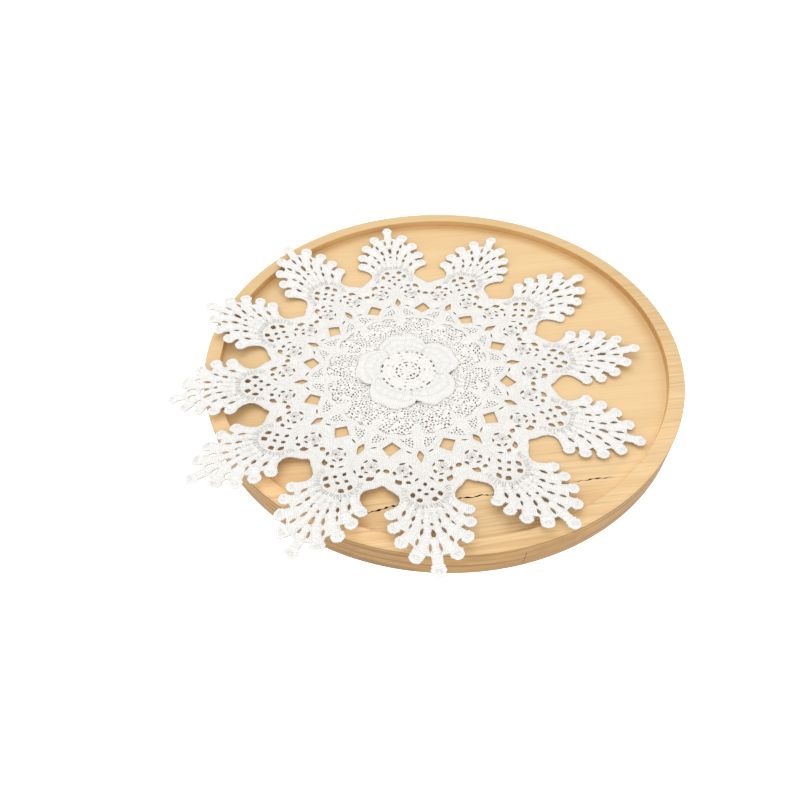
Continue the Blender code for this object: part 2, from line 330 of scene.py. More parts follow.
# ---------------------------------------------------------------- finishes
class Nodes:
    """Adds and joins the nodes of one material."""

    def __init__(self, name: str) -> None:
        """Start a material with an output and a Principled shader.

        Args:
            name: The material's name.
        """
        self.material = bpy.data.materials.new(name)
        self.material.use_nodes = True
        self.tree = self.material.node_tree

    def add(self, kind: str, inputs: dict[str | int, object] | None = None, **settings: object) -> bpy.types.Node:
        """Add a node.

        Args:
            kind: The node's type.
            inputs: Values or sockets for its inputs.
            settings: Its own properties.

        Returns:
            The node.
        """
        node = self.tree.nodes.new(kind)
        for name, value in settings.items():
            setattr(node, name, value)
        self.feed(node, inputs or {})
        return node

    def feed(self, node: bpy.types.Node, inputs: dict[str | int, object]) -> None:
        """Give a node's inputs their values, or join sockets to them.

        Args:
            node: The node.
            inputs: Values or sockets for its inputs.
        """
        for key, value in inputs.items():
            if isinstance(value, Socket):
                self.tree.links.new(value, node.inputs[key])
            else:
                node.inputs[key].default_value = value

    def dressed(self, inputs: dict[str, object]) -> bpy.types.Material:
        """Feed the shader and return the material."""
        self.feed(self.tree.nodes["Principled BSDF"], inputs)
        return self.material

    def attribute(self, name: str, output: str = "Fac") -> Socket:
        """Read one of the mesh's own layers."""
        return self.add("ShaderNodeAttribute", attribute_name=name).outputs[output]

    def split(self, vector: Socket) -> tuple[Socket, Socket, Socket]:
        """Return a vector's x, y and z."""
        return tuple(self.add("ShaderNodeSeparateXYZ", {0: vector}).outputs)

    def vector(self, operation: str, *values: object) -> Socket:
        """Add a Vector Math node and return its result."""
        outputs = self.add("ShaderNodeVectorMath", dict(enumerate(values)), operation=operation).outputs
        return outputs["Value" if operation == "LENGTH" else "Vector"]

    def math(self, operation: str, *values: object) -> Socket:
        """Add a Math node and return its result."""
        return self.add("ShaderNodeMath", dict(enumerate(values)), operation=operation).outputs[0]

    def times(self, *values: object) -> Socket:
        """Multiply values."""
        return reduce(lambda first, second: self.math("MULTIPLY", first, second), values)

    def scaled(self, value: object, scale: object, more: object) -> Socket:
        """Multiply a value by a scale and add more to it."""
        return self.math("MULTIPLY_ADD", value, scale, more)

    def below(self, value: Socket, limit: object) -> Socket:
        """Return 1 where a value is below a limit, and else 0."""
        return self.math("LESS_THAN", value, limit)

    def above(self, value: Socket, limit: object) -> Socket:
        """Return 1 where a value is above a limit, and else 0."""
        return self.math("GREATER_THAN", value, limit)

    def fade(self, value: Socket, span: Span) -> Socket:
        """Return a share that runs from 0 at the span's start to 1 at its end."""
        return self.add("ShaderNodeMapRange", {0: value, 1: span[0], 2: span[1]}).outputs[0]

    def noise(self, place: Socket, scale: float | Triple, detail: float, distortion: float = 0.0,
              output: str = "Fac") -> Socket:
        """Add noise.

        Args:
            place: The coordinates it follows.
            scale: How fine it is, or how fine it is along each axis.
            detail: How many finer layers it has.
            distortion: How much it is bent.
            output: Fac or Color.

        Returns:
            The noise.
        """
        if isinstance(scale, tuple):
            place = self.add("ShaderNodeMapping", {"Vector": place, "Scale": scale}).outputs[0]
            scale = 1.0
        inputs = {"Vector": place, "Scale": scale, "Detail": detail, "Distortion": distortion}
        return self.add("ShaderNodeTexNoise", inputs).outputs[output]

    def mix(self, factor: object, first: object, second: object, blend: str = "MIX") -> Socket:
        """Mix two colours.

        Args:
            factor: How much of the second shows.
            first: A colour or its socket.
            second: A colour or its socket.
            blend: The way they are mixed.

        Returns:
            The mixed colour.
        """
        first, second = ((*colour, 1.0) if isinstance(colour, tuple) else colour for colour in (first, second))
        inputs = {0: factor, 6: first, 7: second}
        return self.add("ShaderNodeMix", inputs, data_type="RGBA", blend_type=blend).outputs[2]

    def bump(self, height: Socket, strength: float, depth: float) -> Socket:
        """Return a normal that shows a relief."""
        inputs = {"Strength": strength, "Distance": depth, "Height": height}
        return self.add("ShaderNodeBump", inputs).outputs["Normal"]


class Stitch(Enum):
    """Which stitches a piece of lace shows: their pitch and their plies' twist, in millimetres, and their lean."""

    CORD = (1.25, 0.42, 0.55)
    CLOTH = (1.05, 0.5, 0.06)
    THREAD = (1.7, 0.6, 0.9)


@dataclass(frozen=True)
class CottonLace:
    """White crochet cotton, with painted shade in the stitches' hollows, in the valleys between ribs and where the
    yarn's flanks turn down.
    """

    name: str
    stitch: Stitch
    colour: Colour = (0.915, 0.90, 0.87)
    # Colours of painted shade: in the stitches' hollows, in the valleys between ribs and on the flanks.
    hollow_shade: Colour = (0.66, 0.64, 0.61)
    valley_shade: Colour = (0.66, 0.64, 0.61)
    flank_shade: Colour = (0.27, 0.215, 0.165)
    flank_span: Span = (0.42, 0.95)
    hollow_span: Span = (0.0, 0.55)
    stitch_relief: float = 0.45
    ply_relief: float = 0.14
    ply_lean: float = 0.8
    fuzz: Span = (3.2, 3.0)
    wander: Span = (0.55, 2.0)
    wobble: float = 1.6
    roughness: float = 0.88
    sheen: float = 0.15
    sheen_roughness: float = 0.6
    bump: float = 0.8
    depth: float = 0.00024

    def material(self) -> bpy.types.Material:
        """Build the finish.

        Returns:
            The material.
        """
        pitch, ply, lean = self.stitch.value
        nodes = Nodes(self.name)
        weave = nodes.attribute("weave", "Vector")
        along, across, _ = nodes.split(weave)
        slant = nodes.scaled(nodes.math("ABSOLUTE", across), lean, along)
        phase = nodes.scaled(nodes.noise(weave, *self.wander), self.wobble, slant)
        stitches = nodes.math("SINE", nodes.times(phase, 2.0 * math.pi / pitch))
        twist = nodes.scaled(along, self.ply_lean, across)
        plies = nodes.math("SINE", nodes.times(twist, 2.0 * math.pi / ply))
        height = nodes.scaled(stitches, self.stitch_relief, nodes.noise(weave, *self.fuzz))
        height = nodes.scaled(plies, self.ply_relief, height)
        # Painted shade: darker in the stitches' hollows, in the valleys and pits, and on the flanks.
        shade = nodes.mix(nodes.fade(height, self.hollow_span), self.hollow_shade, self.colour)
        shade = nodes.mix(nodes.attribute("valley_shade"), shade, self.valley_shade)
        shade = nodes.mix(nodes.fade(nodes.attribute("flank_shade"), self.flank_span), shade, self.flank_shade)
        return nodes.dressed({
            "Base Color": shade, "Normal": nodes.bump(height, self.bump, self.depth), "Roughness": self.roughness,
            "Sheen Weight": self.sheen, "Sheen Roughness": self.sheen_roughness,
        })


@dataclass(frozen=True)
class Grain:
    """Lines in the wood: how closely they lie on each axis, their detail, their bend and where they show."""

    scale: Triple
    detail: float
    bend: float
    span: Span

    def lines(self, nodes: Nodes, place: Socket) -> Socket:
        """Return the lines as noise."""
        return nodes.noise(place, self.scale, self.detail, self.bend)

    def shown(self, nodes: Nodes, place: Socket) -> Socket:
        """Return how much of the lines shows."""
        return nodes.fade(self.lines(nodes, place), self.span)


@dataclass(frozen=True)
class Bamboo:
    """Pale pressed bamboo with its grain along X, browner and darker on the outer wall, which shows the strips' edges.

    The tints multiply the wood's colour. Most are painted light and shade: the floor is painted lighter near the
    front, at the left front and at the near wall's foot, and painted shade darkens the far wall's foot, the far rim,
    the upright
    inner walls, the outer wall's foot and the checks' insides. A span runs from where a tint starts to where it is
    full:
    in metres, and for upright in how level the face is.
    """

    name: str = "pale_bamboo"
    light: Colour = (0.76, 0.543, 0.293)
    middle: Colour = (0.725, 0.502, 0.252)
    tan: Colour = (0.62, 0.38, 0.165)
    dark: Colour = (0.46, 0.265, 0.11)
    # Near black: painted shade inside the open checks, and the dark line of the outer wall's split.
    check: Colour = (0.05, 0.026, 0.012)
    # Darkens the streaks along the strips' edges and, as painted shade, the outer wall's foot.
    streak_and_foot_shade: Colour = (0.20, 0.118, 0.05)
    # Makes the whole outer wall browner and darker.
    wall_tint: Colour = (0.53, 0.445, 0.302)
    # Painted shade on the upright inner walls.
    inner_wall_painted_shade: Colour = (0.91, 0.795, 0.64)
    # Painted light lightens the floor near the front, at the left front and at the near wall's foot; painted shade
    # darkens the far wall's foot and the far rim.
    near_floor_painted_light: Colour = (1.03, 1.05, 1.08)
    left_floor_painted_light: Colour = (1.13, 1.04, 0.98)
    near_foot_painted_light: Colour = (1.15, 1.16, 1.17)
    far_foot_painted_shade: Colour = (0.86, 0.79, 0.70)
    far_rim_painted_shade: Colour = (0.905, 0.905, 0.88)
    near: Span = (-0.05, -0.125)
    front: Span = (-0.03, -0.07)
    far: Span = (-0.03, 0.04)
    left: Span = (-0.01, -0.06)
    right: Span = (0.07, 0.14)
    foot: Span = (0.132, 0.138)
    lower: Span = (0.0152, 0.0136)
    wall_foot: Span = (0.009, 0.002)
    wall: Span = (0.1496, 0.1499)
    upright: Span = (0.8, 0.25)
    # Where the checks are painted near black inside, as painted shade.
    check_levels: Span = (0.005, 0.01292)
    check_reach: float = 0.138
    rim_start: float = 0.1405
    foot_reach: float = 0.142
    inner_reach: float = 0.145
    near_reach: float = 0.1485
    below_rim: float = 0.0176
    grain_turn: float = -0.2
    grain_wander: Span = (7.0, 2.0)
    grain_shift: Triple = (0.004, 0.006, 0.004)
    broad: Grain = Grain((5.0, 60.0, 60.0), 3.0, 0.3, (0.32, 0.66))
    band: Grain = Grain((7.0, 150.0, 150.0), 2.0, 0.4, (0.52, 0.40))
    fine: Grain = Grain((14.0, 480.0, 480.0), 5.0, 0.2, (0.52, 0.34))
    hair: Grain = Grain((24.0, 1100.0, 1100.0), 3.0, 0.0, (0.45, 0.32))
    wall_broad: Grain = Grain((18.0, 18.0, 110.0), 3.0, 0.5, (0.56, 0.42))
    wall_strips: Grain = Grain((9.0, 9.0, 330.0), 4.0, 0.2, (0.51, 0.44))
    wall_hair: Grain = Grain((14.0, 14.0, 720.0), 3.0, 0.0, (0.48, 0.40))
    band_share: Span = (0.36, 0.06)
    fine_share: Span = (0.25, 0.10)
    hair_share: Span = (0.32, 0.12)
    wall_shares: Triple = (0.3, 0.85, 0.45)
    strip_stain: float = 0.83
    # Painted shade at the outer wall's foot.
    foot_shade: float = 0.3
    split_across: float = 0.0459
    split_lean: float = 0.1
    split_top: float = 0.0122
    split_width: Span = (0.00012, 0.00022)
    fine_relief: float = 0.6
    hair_relief: float = 0.4
    bump: Span = (0.35, 0.0003)
    roughness: float = 0.5
    rougher: float = 0.2
    shine: float = 0.3

    def boards(self, nodes: Nodes, place: Socket, near: Socket, marked: Socket) -> tuple[Socket, Socket, Socket]:
        """Lay the boards' grain.

        Args:
            nodes: The material's nodes.
            place: Where a point is.
            near: Where the bands show most.
            marked: Where the streaks and hair lines show most.

        Returns:
            The wood's colour, its fine grain and its hair lines.
        """
        lying = nodes.add(
            "ShaderNodeVectorRotate", {"Vector": place, "Angle": self.grain_turn}, rotation_type="Z_AXIS"
        ).outputs[0]
        shift = nodes.vector("MULTIPLY", nodes.noise(place, *self.grain_wander, output="Color"), self.grain_shift)
        moved = nodes.vector("ADD", lying, shift)
        fine, hair = self.fine.lines(nodes, moved), self.hair.lines(nodes, moved)
        wood = nodes.mix(self.broad.shown(nodes, moved), self.middle, self.light)
        for shown, where, share, colour in (
            (self.band.shown(nodes, moved), near, self.band_share, self.tan),
            (nodes.fade(fine, self.fine.span), marked, self.fine_share, self.dark),
            (nodes.fade(hair, self.hair.span), marked, self.hair_share, self.dark),
        ):
            wood = nodes.mix(nodes.times(shown, nodes.scaled(where, *share)), wood, colour)
        return wood, fine, hair

    def outer_wall(self, nodes: Nodes, wood: Socket, place: Socket) -> Socket:
        """Colour the outer wall, with painted shade at its foot.

        Args:
            nodes: The material's nodes.
            wood: The boards' colour.
            place: Where a point is.

        Returns:
            The wall's colour, browner and darker, with the strips' edges, painted shade darkening its foot and one
            short split.
        """
        x, y, z = nodes.split(place)
        broad, strips, hair = (
            nodes.times(grain.shown(nodes, place), share)
            for grain, share in zip((self.wall_broad, self.wall_strips, self.wall_hair), self.wall_shares)
        )
        strips = nodes.math("MINIMUM", nodes.math("ADD", nodes.math("ADD", strips, broad), hair), 1.0)
        # Browner and darker all round the outer wall.
        toned_and_shaded = nodes.mix(1.0, wood, self.wall_tint, "MULTIPLY")
        # Darker along the strips' edges, and painted shade darkening the wall's foot.
        for where, share in ((strips, self.strip_stain), (nodes.fade(z, self.wall_foot), self.foot_shade)):
            toned_and_shaded = nodes.mix(nodes.times(where, share), toned_and_shaded, self.streak_and_foot_shade)
        beside = nodes.math("SUBTRACT", x, nodes.scaled(z, self.split_lean, self.split_across))
        narrow, wide = self.split_width
        split = nodes.below(nodes.math("ABSOLUTE", beside), nodes.scaled(strips, wide, narrow))
        split = nodes.times(split, nodes.below(z, self.split_top), nodes.below(y, 0.0))
        return nodes.mix(split, toned_and_shaded, self.check)

    def material(self) -> bpy.types.Material:
        """Build the finish.

        Returns:
            The material.
        """
        nodes = Nodes(self.name)
        place = nodes.add("ShaderNodeTexCoord").outputs["Object"]
        x, y, z = nodes.split(place)
        radius = nodes.vector("LENGTH", nodes.vector("MULTIPLY", place, (1.0, 1.0, 0.0)))
        near, far, right = nodes.fade(y, self.near), nodes.fade(y, self.far), nodes.fade(x, self.right)
        rim = nodes.above(radius, self.rim_start)
        wood, fine, hair = self.boards(nodes, place, near, nodes.math("MAXIMUM", near, nodes.times(rim, right)))
        foot = nodes.times(nodes.fade(radius, self.foot), nodes.below(z, self.below_rim))
        foot = nodes.times(foot, nodes.below(radius, self.foot_reach))
        # Painted light lightens the floor near the front, at the left front and at the near wall's foot; painted shade
        # darkens the far wall's foot and the far rim.
        near_floor = nodes.times(near, nodes.below(radius, self.near_reach))
        shaded = nodes.math("MAXIMUM", nodes.fade(z, self.lower), right)
        for where, tint in (
            (near_floor, self.near_floor_painted_light),
            (nodes.times(nodes.fade(x, self.left), near_floor), self.left_floor_painted_light),
            (nodes.times(foot, nodes.fade(y, self.front)), self.near_foot_painted_light),
            (nodes.times(shaded, foot, far), self.far_foot_painted_shade),
            (nodes.times(rim, far), self.far_rim_painted_shade),
        ):
            wood = nodes.mix(where, wood, tint, "MULTIPLY")
        wood = nodes.mix(nodes.fade(radius, self.wall), wood, self.outer_wall(nodes, wood, place))
        # Painted shade: the upright inner walls are darker.
        level = nodes.math("ABSOLUTE", nodes.split(nodes.add("ShaderNodeNewGeometry").outputs["Normal"])[2])
        inner = nodes.times(nodes.fade(level, self.upright), nodes.below(radius, self.inner_reach))
        wood = nodes.mix(inner, wood, self.inner_wall_painted_shade, "MULTIPLY")
        # Painted shade: near black inside the open checks, below the floor.
        bottom, top = self.check_levels
        painted_check_shade = nodes.times(nodes.below(z, top), nodes.above(z, bottom), nodes.below(radius, self.check_reach))
        height = nodes.scaled(fine, self.fine_relief, nodes.times(hair, self.hair_relief))
        return nodes.dressed({
            "Base Color": nodes.mix(painted_check_shade, wood, self.check), "Normal": nodes.bump(height, *self.bump),
            "Roughness": nodes.scaled(fine, self.rougher, self.roughness), "Specular IOR Level": self.shine,
        })


# ---------------------------------------------------------------- lace pieces
def lace_shape() -> Mesh:
    """Start a shape with the layer that the stitches follow and the layer of painted shade in their valleys.

    Returns:
        The empty shape.
    """
    shape = bmesh.new()
    shape.verts.layers.float_vector.new("weave")
    shape.verts.layers.float.new("valley_shade")
    return shape


def squarish(turn: float, square: float) -> Span:
    """Go round a unit circle that is boxier where square is over 2.

    Args:
        turn: How far round, in radians.
        square: How boxy it is.

    Returns:
        The point, on the way that the turn starts from and beside it.
    """
    cosine, sine = math.cos(turn), math.sin(turn)
    power = 2.0 / square
    return math.copysign(abs(cosine) ** power, cosine), math.copysign(abs(sine) ** power, sine)


def bell(value: float, middle: float, width: float) -> float:
    """Return 1 at the middle and less on both sides of it."""
    return math.exp(-(((value - middle) / width) ** 2))


def sharp_edges(shape: Mesh, limit: float = 1.0) -> list[bmesh.types.BMEdge]:
    """Return the edges that turn by more than a limit, in radians."""
    return [edge for edge in shape.edges if edge.calc_face_angle(0.0) > limit]


def round_off(shape: Mesh, edges: list[bmesh.types.BMEdge], offset: float) -> None:
    """Round edges off.

    Args:
        shape: The shape that they belong to.
        edges: The edges.
        offset: How far from each edge the rounding starts.
    """
    bmesh.ops.bevel(
        shape, geom=edges, offset=offset, segments=2, profile=0.5, affect="EDGES", material=-1, offset_type="OFFSET"
    )


@dataclass(frozen=True)
class Yarn:
    """The section and stitches of a cord, in millimetres."""

    height: float = 1.6
    step: float = 0.6
    sides: int = 10
    pitch: float = 1.3
    rib_up: float = 0.10
    rib_out: float = 0.10
    groove: float = 0.0
    pit: float = 0.0
    pit_place: float = 0.8
    pit_spread: float = 0.8
    pit_shade: float = 0.9
    square: float = 2.3
    shade: float = 0.18


@dataclass
class LacePiece:
    """A piece of the lace on the flat plan: one sector drawn once and repeated, or a whole round."""

    name: str
    finish: CottonLace
    drape: Drape
    shape: Mesh = field(default_factory=lace_shape)
    cords: int = 0
    rounding: tuple[float, ...] = (0.3, 0.58, 0.8, 0.93, 0.99)
    uneven: Line = ((0.35, 0.9, 1.7), (0.25, 2.3, 1.0))
    weave_shift: float = 3.7
    stray_size: float = 17.0
    lift_size: float = 12.0
    lift: float = 0.1
    calm: float = 4.0
    calm_ease: float = 30.0

    def take(self, part: Mesh) -> None:
        """Add a part.

        Args:
            part: A finished closed shape. It can't be used afterwards.
        """
        face_outwards(part)
        mesh = turned_to_mesh(part, "part")
        self.shape.from_mesh(mesh)
        bpy.data.meshes.remove(mesh)

    def cord(self, points: Line, yarn: Yarn, level: float = 0.0) -> None:
        """Run a cord with rounded ends along a line.

        Args:
            points: Rows of across, out and width, on the fan's axis. The ends reach half a width further.
            yarn: Its section and stitches.
            level: The height of its middle over the sheet's.
        """
        rows = course(points, yarn.step)
        along = np.concatenate(([0.0], np.cumsum(np.linalg.norm(np.diff(rows[:, :2], axis=0), axis=1))))
        ahead = np.gradient(rows[:, :2], axis=0)
        ahead /= np.linalg.norm(ahead, axis=1)[:, None]
        first, last = rows[0, 2] / 2.0, rows[-1, 2] / 2.0
        swell = np.array(self.rounding)
        slim = np.sqrt(1.0 - swell**2)
        share = np.concatenate((slim[::-1], np.ones(len(rows)), slim))
        reach = np.concatenate((-swell[::-1] * first, np.zeros(len(rows)), swell * last))
        ends = (len(swell), len(swell))
        rows, ahead = (np.pad(table, (ends, (0, 0)), "edge") for table in (rows, ahead))
        along = np.pad(along, ends, "edge") + reach
        middle = rows[:, :2] + ahead * reach[:, None]
        beside = np.column_stack((ahead[:, 1], -ahead[:, 0]))
        widths, heights = rows[:, 2] * share, share**0.7
        uneven = sum(most * np.sin(along * pace + shift * self.cords) for most, pace, shift in self.uneven)
        wave = (0.5 - 0.5 * np.cos(2.0 * math.pi * (along + uneven) / yarn.pitch)) * (1.0 + 0.5 * uneven)
        self.cords += 1
        part = lace_shape()
        weave, valley_shade = part.verts.layers.float_vector["weave"], part.verts.layers.float["valley_shade"]
        bmesh.ops.create_grid(part, x_segments=len(middle) - 1, y_segments=yarn.sides, size=1.0)
        for vert in part.verts:
            ring = int(round((vert.co.x + 1.0) / 2.0 * (len(middle) - 1)))
            side, top = squarish(math.pi * (vert.co.y + 1.0), yarn.square)
            offset = side * (widths[ring] / 2.0 + yarn.rib_out * wave[ring] * heights[ring])
            up = top * (yarn.height / 2.0 * heights[ring] + yarn.rib_up * wave[ring])
            up -= top * yarn.groove * bell(offset, 0.0, 0.2 * widths[ring] + 0.01) * heights[ring]
            sunk = 0.0
            if yarn.pit:
                far = (along[ring] - along[-1] + last * yarn.pit_place) ** 2 + offset**2
                sunk = math.exp(-far / yarn.pit_spread)
                up -= math.copysign(yarn.pit * sunk, top)
            across, out = middle[ring] + beside[ring] * offset
            vert.co = (out, -across, level + up)
            vert[weave] = (along[ring], offset, self.weave_shift * self.cords)
            # Painted shade in the grooves between ribs and in the pit at the end.
            vert[valley_shade] = max(yarn.shade * (1.0 - min(wave[ring], 1.0)) ** 2, yarn.pit_shade * sunk)
        bmesh.ops.remove_doubles(part, verts=part.verts, dist=0.0005)
        bmesh.ops.holes_fill(part, edges=[edge for edge in part.edges if edge.is_boundary], sides=0)
        self.take(part)

    def twin_cords(self, lines: Iterable[Line], yarn: Yarn, level: float = 0.0) -> None:
        """Run each line and its mirrored twin as cords.

        Args:
            lines: Rows of across, out and width for each line.
            yarn: The cords' section and stitches.
            level: The height of their middle over the sheet's.
        """
        for line in lines:
            self.cord(line, yarn, level)
            self.cord(mirrored(line), yarn, level)

    def ring(self, centre: Span, radius: float, width: float, yarn: Yarn, level: float = 0.0,
             ends: Span = (0.0, 360.0)) -> None:
        """Run a cord along an arc.

        Args:
            centre: The arc's centre across and out.
            radius: Its radius.
            width: The cord's width.
            yarn: The cord's section and stitches.
            level: The height of its middle over the sheet's.
            ends: Where it starts and ends, in degrees clockwise from the fan's axis.
        """
        count = max(6, int(abs(ends[1] - ends[0]) / 12.0))
        points = []
        for angle in np.linspace(*ends, count + 1):
            points += radial(centre, angle, [(radius, width)])
        self.cord(points, yarn, level)

    def repeat(self) -> None:
        """Repeat the sector all the way round."""
        bmesh.ops.spin(
            self.shape, geom=[*self.shape.verts, *self.shape.edges, *self.shape.faces], axis=(0, 0, 1),
            angle=2.0 * math.pi * (FAN_COUNT - 1) / FAN_COUNT, steps=FAN_COUNT - 1, use_duplicate=True,
        )

    def finished(self, wobble: float) -> bpy.types.Object:
        """Lay the piece in the tray.

        Args:
            wobble: How far hand work strays from the plan, in millimetres.

        Returns:
            The piece, riding on the root body.
        """
        mesh = turned_to_mesh(self.shape, self.name)
        flat, facing = np.empty(len(mesh.vertices) * 3), np.empty(len(mesh.vertices) * 3)
        mesh.vertices.foreach_get("co", flat)
        mesh.vertex_normals.foreach_get("vector", facing)
        # How steeply each point's surface turns, which the finish darkens as painted shade on the flanks.
        flank_shade = mesh.attributes.new("flank_shade", "FLOAT", "POINT")
        flank_shade.data.foreach_set("value", 1.0 - np.abs(facing[2::3]))
        flat = flat.reshape(-1, 3)
        strays = ((self.stray_size, 3, wobble), (self.stray_size, 5, wobble), (self.lift_size, 7, self.lift))
        stray = np.column_stack([smooth_noise(flat, size, seed) * most for size, seed, most in strays])
        stray *= ease((np.hypot(flat[:, 0], flat[:, 1]) - self.calm) / self.calm_ease)[:, None]
        mesh.vertices.foreach_set("co", self.drape.lay(flat + stray).ravel())
        mesh.shade_smooth()
        mesh.materials.append(self.finish.material())
        mesh.update()
        piece = show(self.name, mesh)
        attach(piece, "root")
        return piece


@dataclass(frozen=True)
class Gap:
    """A gap in the ground, in millimetres: its place, half width, half length and lean from the axis."""

    across: float
    out: float
    half_width: float
    half_length: float
    lean: float = 0.0

    def edge(self, mirror: bool = False, sides: int = 10, square: float = 1.5) -> Outline:
        """Draw its edge.

        Args:
            mirror: Whether it lies on the other side of the axis.
            sides: How many points it has.
            square: How boxy it is: 2 is round, and less is pointed.

        Returns:
            Its points, across and out.
        """
        sine, cosine = math.sin(math.radians(self.lean)), math.cos(math.radians(self.lean))
        points = []
        for step in range(sides):
            length, width = squarish(2.0 * math.pi * step / sides, square)
            length, width = length * self.half_length, width * self.half_width
            points.append((self.across + width * cosine + length * sine, self.out + length * cosine - width * sine))
        return mirrored(points) if mirror else points


@dataclass(frozen=True)
class Finger:
    """One finger of half a fan: its round end, lean, turn of arc and the notch after it."""

    across: float
    out: float
    radius: float
    lean: float
    arc: float
    notch: Span | None

    def end(self, steps: int = 10) -> Outline:
        """Draw its round end.

        Args:
            steps: How many parts it has.

        Returns:
            Points across and out, from its outer flank to its inner one.
        """
        points = []
        for step in range(steps + 1):
            angle = math.radians(self.lean + self.arc * (1.0 - 2.0 * step / steps))
            points.append((self.across + self.radius * math.sin(angle), self.out + self.radius * math.cos(angle)))
        return points


@dataclass
class LaceWork:
    """Something worked on the flat plan as one piece. Lengths are in millimetres."""

    name: str
    repeated: bool = True
    wobble: float = 0.22

    def work(self, piece: LacePiece) -> None:
        """Work one fan's share, or the whole round where it isn't repeated by fans."""
        raise NotImplementedError

    def build(self, finish: CottonLace, drape: Drape) -> bpy.types.Object:
        """Work the piece and lay it in the tray.

        Args:
            finish: What it is dressed in.
            drape: How it lies.

        Returns:
            The piece.
        """
        piece = LacePiece(self.name, finish, drape)
        self.work(piece)
        if self.repeated:
            piece.repeat()
        return piece.finished(self.wobble)


@dataclass
class Ground(LaceWork):
    """The close ground of the lace, with every gap, that the cords lie on."""

    name: str = "lace_ground"
    repeated: bool = False
    thickness: float = 1.0
    edge: float = 0.24
    sunk: float = 0.08
    longest_edges: tuple[float, ...] = (9.0, 4.5, 3.2)
    inner_edge: Line = (
        (12.6, 50.3), (9.0, 51.6), (6.5, 51.7), (4.0, 51.2), (2.0, 50.2), (0.0, 49.2), (-2.0, 50.2), (-4.0, 51.2),
        (-6.5, 51.7), (-9.0, 51.6),
    )
    fingers: tuple[Finger, ...] = (
        Finger(0.0, 148.5, 2.95, 0, 118, (3.0, 140.4)),
        Finger(10.3, 139.6, 3.0, 14, 110, (11.2, 133.7)),
        Finger(16.9, 130.4, 3.0, 23, 104, (14.6, 124.1)),
        Finger(20.0, 120.6, 3.0, 33, 98, (17.2, 115.7)),
        Finger(20.8, 111.0, 2.95, 42, 94, None),
    )
    neck: Line = ((16.6, 103.4), (15.1, 99.8), (15.5, 96.4), (17.6, 93.2), (20.6, 90.2))
    cusp: float = 89.2
    gaps: tuple[Gap, ...] = (
        Gap(0.0, 127.4, 1.3, 3.6), Gap(2.7, 135.9, 0.8, 2.9, 9), Gap(9.0, 131.3, 0.9, 2.3, 20),
        Gap(5.8, 125.3, 0.95, 2.7, 22), Gap(9.0, 115.1, 1.05, 2.2, 18), Gap(13.9, 110.3, 0.95, 2.7, 20),
        Gap(4.3, 101.0, 1.95, 2.1, -20), Gap(7.5, 96.3, 1.45, 2.4, 6), Gap(14.3, 84.6, 1.9, 2.9, -25),
        Gap(9.0, 85.7, 1.6, 1.3, 20), Gap(6.1, 73.6, 1.2, 1.8, -25), Gap(0.0, 120.5, 0.9, 1.2),
        Gap(4.3, 118.5, 0.8, 2.2), Gap(11.3, 120.7, 0.65, 2.2, 28), Gap(3.8, 112.0, 0.5, 0.9, 10),
        Gap(7.5, 108.0, 0.5, 0.9, 20), Gap(0.0, 88.0, 1.1, 1.7), Gap(3.5, 92.5, 1.3, 1.4),
        Gap(0.0, 96.3, 1.45, 1.3), Gap(0.0, 104.6, 2.2, 0.7), Gap(4.3, 83.7, 0.65, 1.7, 40),
        Gap(6.8, 79.0, 1.05, 1.7), Gap(11.2, 76.5, 0.7, 0.7), Gap(11.0, 71.6, 2.0, 0.75, -12),
        Gap(16.0, 77.8, 1.1, 1.8), Gap(10.2, 81.0, 1.5, 0.65, 10), Gap(6.3, 63.2, 0.5, 2.0, -56),
    )
    valley_gap: Gap = Gap(0.0, 78.4, 2.1, 1.6)
    kite: Line = ((0.0, 62.3), (2.0, 66.2), (1.6, 68.2), (0.0, 71.9), (-1.6, 68.2), (-2.0, 66.2))
    diamond: Line = ((17.4, 65.4), (21.6, 59.2), (15.2, 54.9), (10.4, 60.0))
    leaf_holes: Line = (
        (3.9, 59.6, 0.45, 40.0), (5.6, 58.6, 0.6, -20.0), (3.4, 57.7, 0.6, 10.0), (5.2, 56.8, 0.5, 60.0),
        (7.2, 57.3, 0.55, -30.0), (3.6, 55.7, 0.55, -40.0), (5.4, 54.9, 0.65, 15.0), (7.2, 55.5, 0.5, 50.0),
        (8.9, 55.0, 0.6, -10.0), (4.4, 53.4, 0.5, 80.0), (6.9, 53.6, 0.55, 0.0), (9.9, 53.4, 0.5, 30.0),
    )
    leaf_hole_form: Span = (0.75, 1.3)

    def fan_edge(self) -> Outline:
        """Draw a fan's edge.

        Returns:
            Points across and out, from the cusp on its right to just before the one on its left.
        """
        right = list(reversed(self.neck))
        for finger, inner in zip(self.fingers[:0:-1], self.fingers[-2::-1]):
            right += [*finger.end(), inner.notch]
        return right + self.fingers[0].end() + mirrored(right)[::-1]

    def outlines(self) -> list[Outline]:
        """Draw the whole ground.

        Returns:
            The flat outline and then the edges of all gaps.
        """
        sector = [self.kite]
        for gap in self.gaps:
            sector.append(gap.edge())
            if gap.across:
                sector.append(gap.edge(mirror=True))
        for across, out, size, lean in self.leaf_holes:
            half_width, half_length = (share * size for share in self.leaf_hole_form)
            for side in (1, -1):
                gap = Gap(side * across, out, half_width, half_length, side * lean)
                sector.append(gap.edge(sides=6, square=2.0))
        sector.append([turned(-out, across, -PITCH / 2) for across, out in self.valley_gap.edge()])
        sector.append(self.diamond)
        rim, inner, gaps = [], [], []
        for axis in (PITCH * fan for fan in range(FAN_COUNT)):
            rim.append(turned(0.0, self.cusp, axis - PITCH / 2))
            rim += [turned(*point, axis) for point in self.fan_edge()]
            gaps += [[turned(*point, axis) for point in edge] for edge in sector]
            inner += [turned(*point, axis) for point in self.inner_edge]
        return [rim, *gaps, inner]

